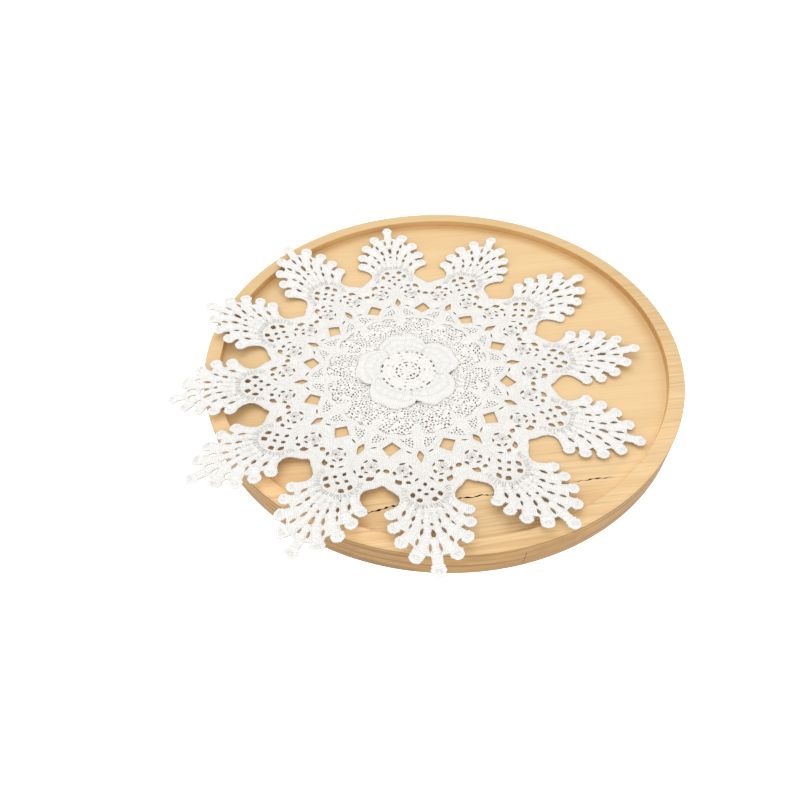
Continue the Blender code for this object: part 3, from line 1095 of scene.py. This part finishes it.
    def work(self, piece: LacePiece) -> None:
        """Cut the ground and round its edges.

        Args:
            piece: What it is added to.
        """
        shape = piece.shape
        fill(shape, self.outlines())
        bmesh.ops.remove_doubles(shape, verts=shape.verts, dist=0.001)
        inside = [edge for edge in shape.edges if not edge.is_boundary]
        bmesh.ops.beautify_fill(shape, faces=shape.faces, edges=inside)
        bmesh.ops.recalc_face_normals(shape, faces=shape.faces)
        bmesh.ops.solidify(shape, geom=shape.faces[:], thickness=self.thickness)
        drop = Vector((0.0, 0.0, -(middle_level(shape) + self.sunk)))
        bmesh.ops.translate(shape, vec=drop, verts=shape.verts)
        level = [edge for edge in sharp_edges(shape) if abs(edge.verts[0].co.z - edge.verts[1].co.z) < self.edge]
        round_off(shape, level, self.edge)
        for limit in self.longest_edges:
            long = [edge for edge in shape.edges if edge.calc_length() > limit]
            bmesh.ops.subdivide_edges(shape, edges=long, cuts=1)
            bmesh.ops.triangulate(shape, faces=[face for face in shape.faces if len(face.verts) > 3])
        weave = shape.verts.layers.float_vector["weave"]
        for vert in shape.verts:
            vert[weave] = (vert.co.x, vert.co.y, 0.0)
        face_outwards(shape)


@dataclass
class FanFingers(LaceWork):
    """The fingers of the fans and their stems."""

    name: str = "fan_fingers"
    yarn: Yarn = Yarn(height=1.8, step=0.43, sides=12, pitch=1.8, rib_up=0.26, rib_out=0.7, groove=0.3,
                      pit=0.95, square=2.3, shade=0.12)
    side_level: float = 0.06
    middle_level: float = 0.1
    middle: Line = ((0.0, 131.2, 3.2), (0.0, 135.5, 3.4), (0.0, 140.0, 3.9), (0.0, 144.0, 4.8), (0.0, 148.5, 7.6))
    sides: tuple[Line, ...] = (
        ((1.6, 108.6, 2.4), (2.2, 114.0, 2.4), (2.6, 119.5, 2.6), (2.95, 125.5, 3.1), (4.6, 131.0, 4.0),
         (7.4, 135.6, 4.9), (10.3, 139.6, 7.8)),
        ((4.6, 107.5, 2.4), (5.9, 112.5, 2.4), (6.8, 117.5, 2.8), (8.6, 121.8, 3.7), (11.5, 125.6, 4.4),
         (14.3, 128.4, 5.3), (16.9, 130.4, 7.8)),
        ((8.2, 105.3, 2.4), (10.3, 109.5, 2.6), (11.9, 113.2, 3.0), (14.2, 116.5, 4.0), (17.0, 118.8, 5.1),
         (20.0, 120.6, 7.8)),
        ((11.2, 101.5, 2.6), (13.6, 104.6, 3.4), (16.6, 107.9, 4.7), (20.8, 111.0, 7.6)),
    )

    def work(self, piece: LacePiece) -> None:
        """Crochet one fan's fingers."""
        piece.twin_cords(self.sides, self.yarn, self.side_level)
        piece.cord(self.middle, self.yarn, self.middle_level)


@dataclass
class FanArches(LaceWork):
    """The ribbed arch at the foot of each fan, the posts above it and the cord along the neck."""

    name: str = "fan_arches"
    centre: Span = (0.0, 95.0)
    reach: float = 103.0
    radius: float = 12.6
    width: float = 3.8
    arch_level: float = 0.12
    post_level: float = -0.02
    border_level: float = 0.1
    post_widths: Span = (1.15, 1.3)
    post_reach: float = 65.0
    post_pitch: float = 6.5
    post_start: float = 14.2
    post_end: float = 18.2
    short_end: float = 15.4
    short_from: float = 56.0
    arch: Yarn = Yarn(height=1.5, step=0.32, sides=10, pitch=1.6, rib_up=0.42, rib_out=0.14, square=2.6, shade=0.72)
    post: Yarn = Yarn(height=1.35, step=0.7, sides=8, pitch=1.4, rib_up=0.10, rib_out=0.06, shade=0.3)
    border: Yarn = Yarn(height=1.7, step=0.45, sides=12, pitch=1.9, rib_up=0.22, rib_out=0.4, groove=0.25,
                        square=2.6, shade=0.04)
    border_line: Line = ((12.6, 97.6, 4.0), (13.6, 94.2, 4.8), (16.9, 89.5, 5.4), (20.2, 86.1, 5.2), (22.9, 83.6, 4.8))

    def work(self, piece: LacePiece) -> None:
        """Crochet one fan's arch, posts and border.

        Args:
            piece: What it is added to.
        """
        piece.ring(self.centre, self.radius, self.width, self.arch, self.arch_level, (-self.reach, self.reach))
        narrow, wide = self.post_widths
        for angle in np.arange(-self.post_reach, self.post_reach + 0.1, self.post_pitch):
            end = self.post_end if abs(angle) < self.short_from else self.short_end
            rows = ((self.post_start, narrow), ((self.post_start + end) / 2.0, wide), (end, narrow))
            piece.cord(radial(self.centre, angle, rows), self.post, self.post_level)
        piece.twin_cords([self.border_line], self.border, self.border_level)


@dataclass
class FanLattice(LaceWork):
    """The little trellis inside each arch."""

    name: str = "fan_lattice"
    centre: Span = (0.0, 95.0)
    radius: float = 10.0
    ring_width: float = 2.0
    over_level: float = 0.05
    bar: Yarn = Yarn(height=1.4, step=0.45, sides=8, pitch=1.4, rib_up=0.14, rib_out=0.18)
    over: Line = ((4.6, 87.0, 2.3), (1.75, 90.2, 2.2), (-1.75, 94.4, 2.2), (-5.8, 98.9, 2.2), (-8.3, 101.5, 2.3))
    under: Line = ((8.5, 91.0, 2.3), (5.5, 94.4, 2.2), (2.0, 98.6, 2.2), (-2.1, 102.8, 2.2), (-4.5, 105.0, 2.3))

    def work(self, piece: LacePiece) -> None:
        """Crochet one fan's trellis.

        Args:
            piece: What it is added to.
        """
        piece.twin_cords([self.over], self.bar, self.over_level)
        piece.twin_cords([self.under], self.bar)
        piece.ring(self.centre, self.radius, self.ring_width, self.bar)


@dataclass
class RosetteBand(LaceWork):
    """The band of rosettes, with the cords on the fans' axes and round the gaps."""

    name: str = "rosette_band"
    centre: Span = (11.2, 76.5)
    radius: float = 6.6
    ring_width: float = 1.8
    petal_level: float = 0.15
    cord_level: float = 0.08
    cord: Yarn = Yarn(height=1.4, step=0.48, sides=8, pitch=1.4, rib_up=0.16, rib_out=0.18, shade=0.07)
    petal: Yarn = Yarn(height=1.6, step=0.4, sides=8, pitch=1.2, rib_up=0.16, rib_out=0.14, shade=0.5)
    petal_angles: tuple[float, ...] = (60.0, 128.0, 178.0, 238.0, 318.0)
    petal_rows: Line = ((1.7, 1.8), (2.4, 2.6), (2.8, 2.7))
    axis_line: Line = (
        (2.3, 87.0, 2.6), (1.5, 83.0, 2.7), (1.4, 78.0, 2.7), (1.6, 73.5, 2.7), (3.3, 69.5, 2.7), (4.0, 66.5, 2.6),
        (3.0, 63.6, 2.4),
    )
    band_line: Line = ((2.9, 71.8, 3.2), (5.2, 69.8, 3.6), (9.8, 68.1, 3.6), (14.2, 67.9, 3.4), (18.3, 67.6, 3.0))
    frame_line: Line = ((17.3, 67.2, 2.4), (14.0, 64.8, 2.4), (8.5, 60.2, 2.4), (11.6, 56.3, 2.4), (15.0, 53.0, 2.4))

    def work(self, piece: LacePiece) -> None:
        """Crochet one fan's two rosettes and the cords beside them.

        Args:
            piece: What it is added to.
        """
        for side in (1, -1):
            centre = (side * self.centre[0], self.centre[1])
            for angle in self.petal_angles:
                piece.cord(radial(centre, side * angle, self.petal_rows), self.petal, self.petal_level)
            piece.ring(centre, self.radius, self.ring_width, self.cord)
        piece.twin_cords([self.axis_line, self.band_line, self.frame_line], self.cord, self.cord_level)


@dataclass
class InnerLeaves(LaceWork):
    """The leaves between the band and the net."""

    name: str = "inner_leaves"
    lobe_level: float = 0.05
    level: float = 0.08
    yarn: Yarn = Yarn(height=1.15, step=0.5, sides=8, pitch=1.4, rib_up=0.14, rib_out=0.16)
    outline: Line = ((1.0, 62.2, 2.5), (5.0, 61.0, 2.5), (8.7, 57.6, 2.5), (12.0, 53.6, 2.5), (13.4, 51.9, 2.5))
    scallop: Line = ((0.6, 49.5, 3.2), (4.0, 51.5, 3.4), (9.0, 52.0, 3.4), (12.9, 50.2, 3.2))
    lobe: Line = ((0.0, 44.6, 4.4), (0.0, 47.5, 6.4), (0.0, 50.0, 5.0))
    midrib: Line = ((0.0, 51.0, 3.0), (0.0, 56.0, 3.6), (0.0, 60.2, 2.4))

    def work(self, piece: LacePiece) -> None:
        """Crochet one leaf.

        Args:
            piece: What it is added to.
        """
        piece.twin_cords([self.outline, self.scallop], self.yarn, self.level)
        piece.cord(self.lobe, self.yarn, self.lobe_level)
        piece.cord(self.midrib, self.yarn, self.level)


@dataclass
class NetRing(LaceWork):
    """The irregular fine net round the flower."""

    name: str = "net_ring"
    repeated: bool = False
    wobble: float = 0.15
    inner: float = 26.4
    outer: float = 51.0
    rings: int = 13
    spokes: int = 120
    stray: float = 0.42
    joined: float = 0.8
    thread: float = 0.395
    wide_shares: tuple[float, ...] = (0.85, 1.1, 1.3, 1.5)
    narrow_shares: tuple[float, ...] = (0.8, 1.05)
    closed: Span = (0.2, 0.3)
    closed_size: float = 7.0
    thickness: float = 1.2
    lift: Span = (-0.16, 0.2)
    lift_size: float = 1.4
    sunk: float = 0.4
    sunk_from: float = 47.5
    sunk_ease: float = 2.5
    seed: int = 11

    def cells(self, shape: Mesh, draws: random.Random) -> None:
        """Fill the ring with cells of three and four sides that stray from an even pattern.

        Args:
            shape: What they are added to.
            draws: How they stray and which of them are joined.
        """
        bmesh.ops.create_circle(shape, cap_ends=False, segments=self.spokes, radius=self.inner)
        edges = list(shape.edges)
        step = (self.outer - self.inner) / self.rings
        for place in range(self.rings):
            made = bmesh.ops.extrude_edge_only(shape, edges=edges)["geom"]
            verts = [item for item in made if isinstance(item, bmesh.types.BMVert)]
            edges = [item for item in made if isinstance(item, bmesh.types.BMEdge)]
            radius = self.inner + step * place
            grown = Matrix.Diagonal(((radius + step) / radius, (radius + step) / radius, 1.0, 1.0))
            shifted = Matrix.Rotation(math.pi / self.spokes * (1 if place % 2 else -1), 4, "Z")
            bmesh.ops.transform(shape, matrix=shifted @ grown, verts=verts)
        bmesh.ops.triangulate(shape, faces=shape.faces)
        for vert in in_order(shape.verts):
            vert.co.x += draws.uniform(-self.stray, self.stray)
            vert.co.y += draws.uniform(-self.stray, self.stray)
        joined = []
        used: set[bmesh.types.BMFace] = set()
        edges = in_order(edge for edge in shape.edges if not edge.is_boundary)
        draws.shuffle(edges)
        for edge in edges:
            if not used.intersection(edge.link_faces) and draws.random() < self.joined:
                used.update(edge.link_faces)
                joined.append(edge)
        bmesh.ops.dissolve_edges(shape, edges=joined)

    def work(self, piece: LacePiece) -> None:
        """Net the ring.

        Args:
            piece: What it is added to.
        """
        draws = random.Random(self.seed)
        shape = piece.shape
        self.cells(shape, draws)
        wide = in_order(face for face in shape.faces if len(face.verts) > 3)
        narrow = in_order(face for face in shape.faces if len(face.verts) == 3)
        draws.shuffle(wide)
        draws.shuffle(narrow)
        for faces, shares in ((wide, self.wide_shares), (narrow, self.narrow_shares)):
            for start, share in enumerate(shares):
                group = faces[start :: len(shares)]
                bmesh.ops.inset_individual(shape, faces=group, thickness=self.thread * share)
        cells = wide + narrow
        middles = np.array([face.calc_center_median()[:] for face in cells])
        dense = self.closed[0] + self.closed[1] * smooth_noise(middles, self.closed_size, 4)
        opened = [face for face, share in zip(cells, dense) if draws.random() >= share]
        bmesh.ops.delete(shape, geom=opened, context="FACES_ONLY")
        bmesh.ops.recalc_face_normals(shape, faces=shape.faces)
        bmesh.ops.solidify(shape, geom=shape.faces[:], thickness=self.thickness)
        middle = middle_level(shape)
        lift: dict[tuple[int, int], float] = {}
        weave = shape.verts.layers.float_vector["weave"]
        for vert in in_order(shape.verts):
            place = (round(vert.co.x / self.lift_size), round(vert.co.y / self.lift_size))
            lift.setdefault(place, draws.uniform(*self.lift))
            sunk = self.sunk * float(ease(np.array((vert.co.xy.length - self.sunk_from) / self.sunk_ease)))
            vert.co.z += lift[place] - middle - sunk
            vert[weave] = vert.co
        face_outwards(shape)

    def build(self, finish: CottonLace, drape: Drape) -> bpy.types.Object:
        """Net the ring, lay it in the tray and round its threads.

        Args:
            finish: What it is dressed in.
            drape: How it lies.

        Returns:
            The piece.
        """
        net = super().build(finish, drape)
        rounding = net.modifiers.new("rounding", "SUBSURF")
        rounding.levels = 1
        rounding.render_levels = 1
        return net


@dataclass(frozen=True)
class Spokes:
    """A round of uneven spokes: their count, stray in degrees, narrowest and widest, start and end, and level."""

    count: int
    stray: float
    widths: Span
    reach: Span
    level: float

    def run(self, piece: LacePiece, yarn: Yarn, draws: random.Random) -> None:
        """Crochet the spokes.

        Args:
            piece: What they are added to.
            yarn: Their section and stitches.
            draws: Where they stray and how wide they are.
        """
        for place in range(self.count):
            angle = 360.0 / self.count * place + draws.uniform(-self.stray, self.stray)
            width = draws.uniform(*self.widths)
            piece.cord(radial((0.0, 0.0), angle, [(radius, width) for radius in self.reach]), yarn, self.level)


@dataclass
class FlowerPetals(LaceWork):
    """The five overlapping petals of the raised flower in the middle."""

    name: str = "flower_petals"
    repeated: bool = False
    wobble: float = 0.15
    first_edge: float = 58.0
    count: int = 5
    inner: float = 17.6
    outer: float = 32.6
    notch: float = 7.5
    lobes: float = 0.55
    rise: float = 0.95
    overlap_rise: float = 0.4
    overlap: float = 0.07
    span: float = 1.15
    ridge: float = 0.34
    ridges: Line = ((0.42, 0.11), (0.80, 0.12))
    valley_shades: Line = ((0.5, 0.61, 0.06), (0.35, 0.22, 0.05), (0.3, 0.94, 0.03))
    foot: float = 0.3
    stitches: float = 22.0
    stitch_rise: float = 0.04
    weave_size: Span = (34.0, 15.0)
    weave_shift: float = 3.1
    grid: tuple[int, int] = (96, 24)
    thickness: float = 1.1
    rounding: float = 0.35

    def petal_point(self, across: float, along: float, petal: int) -> tuple[Vector, float]:
        """Work out a point of a petal's middle surface.

        Args:
            across: Its share of the way from the petal's start to its end.
            along: Its share of the way from inside to outside.
            petal: Which petal.

        Returns:
            The point, and how deep it lies in a valley between rows of stitches.
        """
        place = -self.overlap + self.span * across
        edge = self.outer - self.notch * (1.0 - math.sin(math.pi * min(max(place, 0.0), 1.0))) ** 2
        spill = max(-place, place - 1.0, 0.0)
        edge += self.lobes * math.cos(6.0 * math.pi * place + 0.4 * petal) - 20.0 * spill
        radius = self.inner + (edge - self.inner) * along
        angle = math.radians(self.first_edge + 360.0 / self.count * (petal + place))
        crown = math.sin(math.pi * min(along * 1.02 + 0.05, 1.0)) ** 0.5 if along < 1.0 else 0.0
        row = along + 0.05 * math.sin(7.0 * place + 2.1 * petal) + 0.03 * math.sin(19.0 * place + petal)
        rows = sum(bell(row, *ridge) for ridge in self.ridges)
        side = float(ease(np.array(min(place + 0.07, 1.08 - place) / 0.17)))
        height = (self.rise + self.overlap_rise * 2.0 * (0.6 - place)) * (0.2 + 0.8 * crown) + self.ridge * rows
        height += self.stitch_rise * math.cos(2.0 * math.pi * place * self.stitches) * crown
        height = self.foot + height * (0.66 + 0.34 * side)
        depth = sum(share * bell(row, *valley_shade) for share, *valley_shade in self.valley_shades)
        return Vector((radius * math.cos(angle), radius * math.sin(angle), height)), depth

    def work(self, piece: LacePiece) -> None:
        """Crochet the five petals.

        Args:
            piece: What they are added to.
        """
        for petal in range(self.count):
            part = lace_shape()
            weave, valley_shade = part.verts.layers.float_vector["weave"], part.verts.layers.float["valley_shade"]
            bmesh.ops.create_grid(part, x_segments=self.grid[0], y_segments=self.grid[1], size=1.0)
            for vert in part.verts:
                across, along = (vert.co.x + 1.0) / 2.0, (vert.co.y + 1.0) / 2.0
                vert.co, vert[valley_shade] = self.petal_point(across, along, petal)
                vert[weave] = (across * self.weave_size[0], along * self.weave_size[1], petal * self.weave_shift)
            bmesh.ops.recalc_face_normals(part, faces=part.faces)
            bmesh.ops.solidify(part, geom=part.faces[:], thickness=self.thickness)
            for vert in part.verts:
                if vert[weave].length == 0.0:
                    vert[weave] = (vert.co.x, vert.co.y, 0.0)
            round_off(part, sharp_edges(part), self.rounding)
            piece.take(part)


@dataclass
class FlowerCentre(LaceWork):
    """What lies inside the petals: rounds of cord, two rounds of spokes, a ring of small petals and a hub."""

    name: str = "flower_centre"
    repeated: bool = False
    wobble: float = 0.15
    outer_rounds: Line = ((15.0, 2.3, 0.75), (18.2, 2.3, 0.8))
    middle_rounds: Line = ((8.9, 2.4, 0.7),)
    inner_rounds: Line = ((6.1, 1.5, 0.65), (2.6, 1.9, 0.75))
    outer_spokes: Spokes = Spokes(26, 4.0, (1.8, 4.2), (15.0, 18.0), 0.8)
    inner_spokes: Spokes = Spokes(13, 6.5, (1.3, 2.4), (2.0, 9.0), 0.6)
    small_petals: Triple = (12.0, 5.0, 0.75)
    small_count: int = 7
    small_start: float = 12.0
    small_turn: float = 30.0
    hub: Line = ((0.0, -0.4, 2.4), (0.0, 0.4, 2.4))
    hub_level: float = 0.7
    seed: int = 5
    spoke: Yarn = Yarn(height=1.3, step=0.5, sides=8, pitch=1.2, rib_up=0.08, rib_out=0.08)
    round_cord: Yarn = Yarn(height=1.5, step=0.5, sides=8, pitch=1.25, rib_up=0.14, rib_out=0.1)
    small: Yarn = Yarn(height=1.9, step=0.5, sides=10, pitch=1.25, rib_up=0.12, rib_out=0.08, square=2.4)

    def work(self, piece: LacePiece) -> None:
        """Crochet the rounds, spokes, small petals and hub.

        Args:
            piece: What they are added to.
        """
        draws = random.Random(self.seed)
        centre = (0.0, 0.0)

        def run_rounds(rounds: Line) -> None:
            """Run cords all the way round, given their radius, width and level."""
            for radius, width, level in rounds:
                piece.ring(centre, radius, width, self.round_cord, level)

        run_rounds(self.outer_rounds)
        self.outer_spokes.run(piece, self.spoke, draws)
        radius, width, level = self.small_petals
        for place in range(self.small_count):
            start = 360.0 / self.small_count * place + self.small_start
            piece.ring(centre, radius, width, self.small, level, (start, start + self.small_turn))
        run_rounds(self.middle_rounds)
        self.inner_spokes.run(piece, self.spoke, draws)
        run_rounds(self.inner_rounds)
        piece.cord(self.hub, self.small, self.hub_level)


# ---------------------------------------------------------------- tray
@dataclass(frozen=True)
class Check:
    """An open check in the tray's floor, in millimetres: its ends, its widest opening and its seed."""

    start: Span
    end: Span
    width: float
    seed: int
    step: float = 1.3
    stray: float = 0.5
    straightening: float = 0.15
    openings: tuple[float, ...] = (0.1, 0.22, 0.38, 0.6, 1.0)
    least_half: float = 0.05

    def edge(self) -> Outline:
        """Draw its jagged edge.

        Returns:
            Points in the tray's plan.
        """
        draws = random.Random(self.seed)
        start, end = Vector(self.start), Vector(self.end)
        ahead = (end - start).normalized()
        beside = Vector((-ahead.y, ahead.x))
        count = max(6, int((end - start).length / self.step))
        drift = 0.0
        near, far = [], []
        for step in range(count + 1):
            share = step / count
            drift += draws.uniform(-self.stray, self.stray) - self.straightening * drift
            opening = self.width * math.sin(math.pi * share) ** 0.5 * draws.choice(self.openings)
            middle = start + (end - start) * share + beside * drift
            if 0 < step < count:
                near.append(middle - beside * (opening / 2.0 + self.least_half))
                far.append(middle + beside * (opening / 2.0 + self.least_half))
            else:
                near.append(middle)
        return [tuple(point) for point in near + far[::-1]]


@dataclass
class RoundTray:
    """The round tray: a turned rim and wall, and a floor with a few open checks along the grain."""

    radius: float = 150.0
    height: float = 18.2
    rim_width: float = 9.3
    recess: float = 5.2
    edge_rounding: float = 0.45
    foot_rounding: float = 0.4
    fillet: float = 1.3
    steps: int = 192
    corner_steps: int = 4
    sharp: float = 35.0
    check_depth: float = 1.6
    checks: tuple[Check, ...] = (
        Check((-37.8, -124.8), (-12.0, -115.3), 1.4, 3),
        Check((9.5, -112.4), (46.0, -105.9), 1.4, 8),
        Check((45.0, -106.6), (72.5, -99.1), 1.2, 5),
        Check((73.7, -98.4), (98.2, -94.2), 0.9, 6),
    )

    def corner(self, across: float, up: float, radius: float, start: float, end: float) -> Outline:
        """Return an arc of the section, from start to end in degrees."""
        angles = np.radians(np.linspace(start, end, self.corner_steps + 1))
        return [(across + radius * math.cos(angle), up + radius * math.sin(angle)) for angle in angles]

    def section(self) -> Outline:
        """Draw the half section.

        Returns:
            Points across and up, from the floor's edge over the rim to the underside's middle.
        """
        floor = self.height - self.recess
        inner = self.radius - self.rim_width
        edge, foot = self.edge_rounding, self.foot_rounding
        points = self.corner(inner - self.fillet, floor + self.fillet, self.fillet, -90, 0)
        points += self.corner(inner + edge, self.height - edge, edge, 180, 90)
        points += self.corner(self.radius - edge, self.height - edge, edge, 90, 0)
        points += self.corner(self.radius - foot, foot, foot, 0, -90)
        return points + [(0.0, 0.0)]

    def build(self, finish: Bamboo) -> bpy.types.Object:
        """Turn the tray, set its floor in and open the checks.

        Args:
            finish: What it is dressed in.

        Returns:
            The tray.
        """
        shape = bmesh.new()
        points = [shape.verts.new((across, 0.0, up)) for across, up in self.section()]
        edges = [shape.edges.new(pair) for pair in zip(points, points[1:])]
        bmesh.ops.spin(
            shape, geom=points + edges, axis=(0, 0, 1), angle=2.0 * math.pi, steps=self.steps, use_merge=True
        )
        bmesh.ops.remove_doubles(shape, verts=shape.verts, dist=0.002)
        reach = self.radius - self.rim_width - self.fillet
        rim = [turned(0.0, reach, 360.0 * step / self.steps) for step in range(self.steps)]
        fill(shape, [rim, *(check.edge() for check in self.checks)], self.height - self.recess)
        bmesh.ops.remove_doubles(shape, verts=shape.verts, dist=0.01)
        rims = [edge for edge in shape.edges if edge.is_boundary]
        made = bmesh.ops.extrude_edge_only(shape, edges=rims)["geom"]
        low = [item for item in made if isinstance(item, bmesh.types.BMVert)]
        bmesh.ops.translate(shape, vec=Vector((0.0, 0.0, -self.check_depth)), verts=low)
        bmesh.ops.holes_fill(shape, edges=[edge for edge in shape.edges if edge.is_boundary], sides=0)
        bmesh.ops.recalc_face_normals(shape, faces=shape.faces)
        bmesh.ops.scale(shape, vec=Vector((MM, MM, MM)), verts=shape.verts)
        mesh = turned_to_mesh(shape, "tray_board")
        mesh.shade_smooth()
        mesh.set_sharp_from_angle(angle=math.radians(self.sharp))
        mesh.materials.append(finish.material())
        tray = show("tray_board", mesh)
        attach(tray, "root")
        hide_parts("round_tray")
        return tray


# ---------------------------------------------------------------- studio
@dataclass
class Studio:
    """The floor, the lights and the camera."""

    distance: float = 0.437356
    elevation: float = 0.78844
    roll: float = -0.0259764
    focal_px: float = 657.997
    aim_right: float = -0.0588801
    aim_up: float = -0.0556667
    picture: float = 800.0
    sensor: float = 36.0
    clip: Span = (0.01, 50.0)
    floor_size: float = 8.0
    floor_level: float = -0.0006
    floor_grey: float = 0.9
    floor_glow: float = 0.75
    key_place: Triple = (-0.27, 0.72, 1.45)
    fill_place: Triple = (0.1, -1.38, 0.75)
    light_size: float = 1.4
    light_power: float = 6.0
    light_colour: Colour = (1.0, 0.985, 0.965)
    sky: float = 0.985

    def camera(self) -> None:
        """Place the camera."""
        sight = self.distance * Vector((0.0, -math.cos(self.elevation), math.sin(self.elevation)))
        forward = -sight / self.distance
        right = Vector((1.0, 0.0, 0.0))
        up = right.cross(forward)
        ahead = (forward + self.aim_right * right + self.aim_up * up).normalized()
        data = bpy.data.cameras.new("camera")
        data.sensor_width = self.sensor
        data.lens = self.focal_px * self.sensor / self.picture
        data.clip_start, data.clip_end = self.clip
        camera = show("camera", data)
        camera.rotation_mode = "QUATERNION"
        camera.location = sight
        camera.rotation_quaternion = ahead.to_track_quat("-Z", "Y") @ Quaternion((0.0, 0.0, 1.0), self.roll)
        bpy.context.scene.camera = camera

    def floor(self) -> None:
        """Lay the plain white floor."""
        shape = bmesh.new()
        bmesh.ops.create_grid(shape, x_segments=1, y_segments=1, size=self.floor_size / 2)
        bmesh.ops.translate(shape, vec=Vector((0.0, 0.0, self.floor_level)), verts=shape.verts)
        floor = show("floor", turned_to_mesh(shape, "floor"))
        grey = self.floor_grey
        floor.data.materials.append(Nodes("white_floor").dressed({
            "Base Color": (grey, grey, grey, 1.0), "Roughness": 0.9, "Emission Color": (1.0, 1.0, 1.0, 1.0),
            "Emission Strength": self.floor_glow,
        }))

    def lights(self) -> None:
        """Hang the soft light behind, the one in front and the even light all round."""
        world = bpy.data.worlds.new("white_room")
        world.use_nodes = True
        world.node_tree.nodes["Background"].inputs["Color"].default_value = (1.0, 1.0, 1.0, 1.0)
        world.node_tree.nodes["Background"].inputs["Strength"].default_value = self.sky
        bpy.context.scene.world = world
        for name, place in (("key", self.key_place), ("fill", self.fill_place)):
            data = bpy.data.lights.new(name, "AREA")
            data.shape = "DISK"
            data.size = self.light_size
            data.energy = self.light_power
            data.color = self.light_colour
            light = show(name, data)
            light.location = place
            light.rotation_mode = "QUATERNION"
            light.rotation_quaternion = (-Vector(place)).to_track_quat("-Z", "Y")
        bpy.context.scene.view_settings.view_transform = "Standard"


def log_piece(piece: bpy.types.Object) -> None:
    """Log a piece's triangles and how many of its edges don't lie between exactly two faces.

    Args:
        piece: The piece.
    """
    shape = bmesh.new()
    shape.from_mesh(piece.data)
    triangles = sum(len(face.verts) - 2 for face in shape.faces)
    open_edges = sum(not edge.is_manifold for edge in shape.edges)
    shape.free()
    LOG.info("%s: %d triangles, %d open edges", piece.name, triangles, open_edges)


def main() -> None:
    """Dress the doily and its tray, piece by piece."""
    logging.basicConfig(level=logging.INFO, format="%(message)s")
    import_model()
    studio = Studio()
    studio.camera()
    drape = Drape()
    cord_finish = CottonLace("crochet_cords", Stitch.CORD)
    # The cotton is one white all through: the fingers' finish is painted lighter, and the petals' and the net's
    # darker, as painted light and shade.
    finger_finish = CottonLace(
        "crochet_fingers", Stitch.CORD, colour=(0.955, 0.94, 0.91), hollow_shade=(0.74, 0.725, 0.70),
        valley_shade=(0.42, 0.41, 0.40), flank_shade=(0.34, 0.27, 0.205),
    )
    rib_finish = CottonLace("crochet_ribs", Stitch.CORD, valley_shade=(0.33, 0.305, 0.275))
    cloth_finish = CottonLace("crochet_ground", Stitch.CLOTH)
    petal_finish = CottonLace(
        "crochet_petals", Stitch.CLOTH, colour=(0.855, 0.842, 0.815), hollow_shade=(0.64, 0.625, 0.6),
        valley_shade=(0.64, 0.625, 0.6), flank_shade=(0.74, 0.72, 0.69), depth=0.00016,
    )
    centre_finish = CottonLace("crochet_centre", Stitch.CORD, flank_shade=(0.50, 0.46, 0.41), depth=0.00016)
    thread_finish = CottonLace(
        "crochet_net", Stitch.THREAD, colour=(0.875, 0.86, 0.83), flank_shade=(0.2, 0.165, 0.13), depth=0.00012
    )
    ground = Ground().build(cloth_finish, drape)
    pieces = [
        FanFingers().build(finger_finish, drape),
        FanArches().build(rib_finish, drape),
        FanLattice().build(cord_finish, drape),
        RosetteBand().build(rib_finish, drape),
        InnerLeaves().build(cord_finish, drape),
        NetRing().build(thread_finish, drape),
        FlowerPetals().build(petal_finish, drape),
        FlowerCentre().build(centre_finish, drape),
    ]
    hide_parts("lace_doily")
    tray = RoundTray().build(Bamboo())
    for piece in (ground, *pieces, tray):
        log_piece(piece)
    studio.floor()
    studio.lights()


if __name__ == "__main__":
    main()
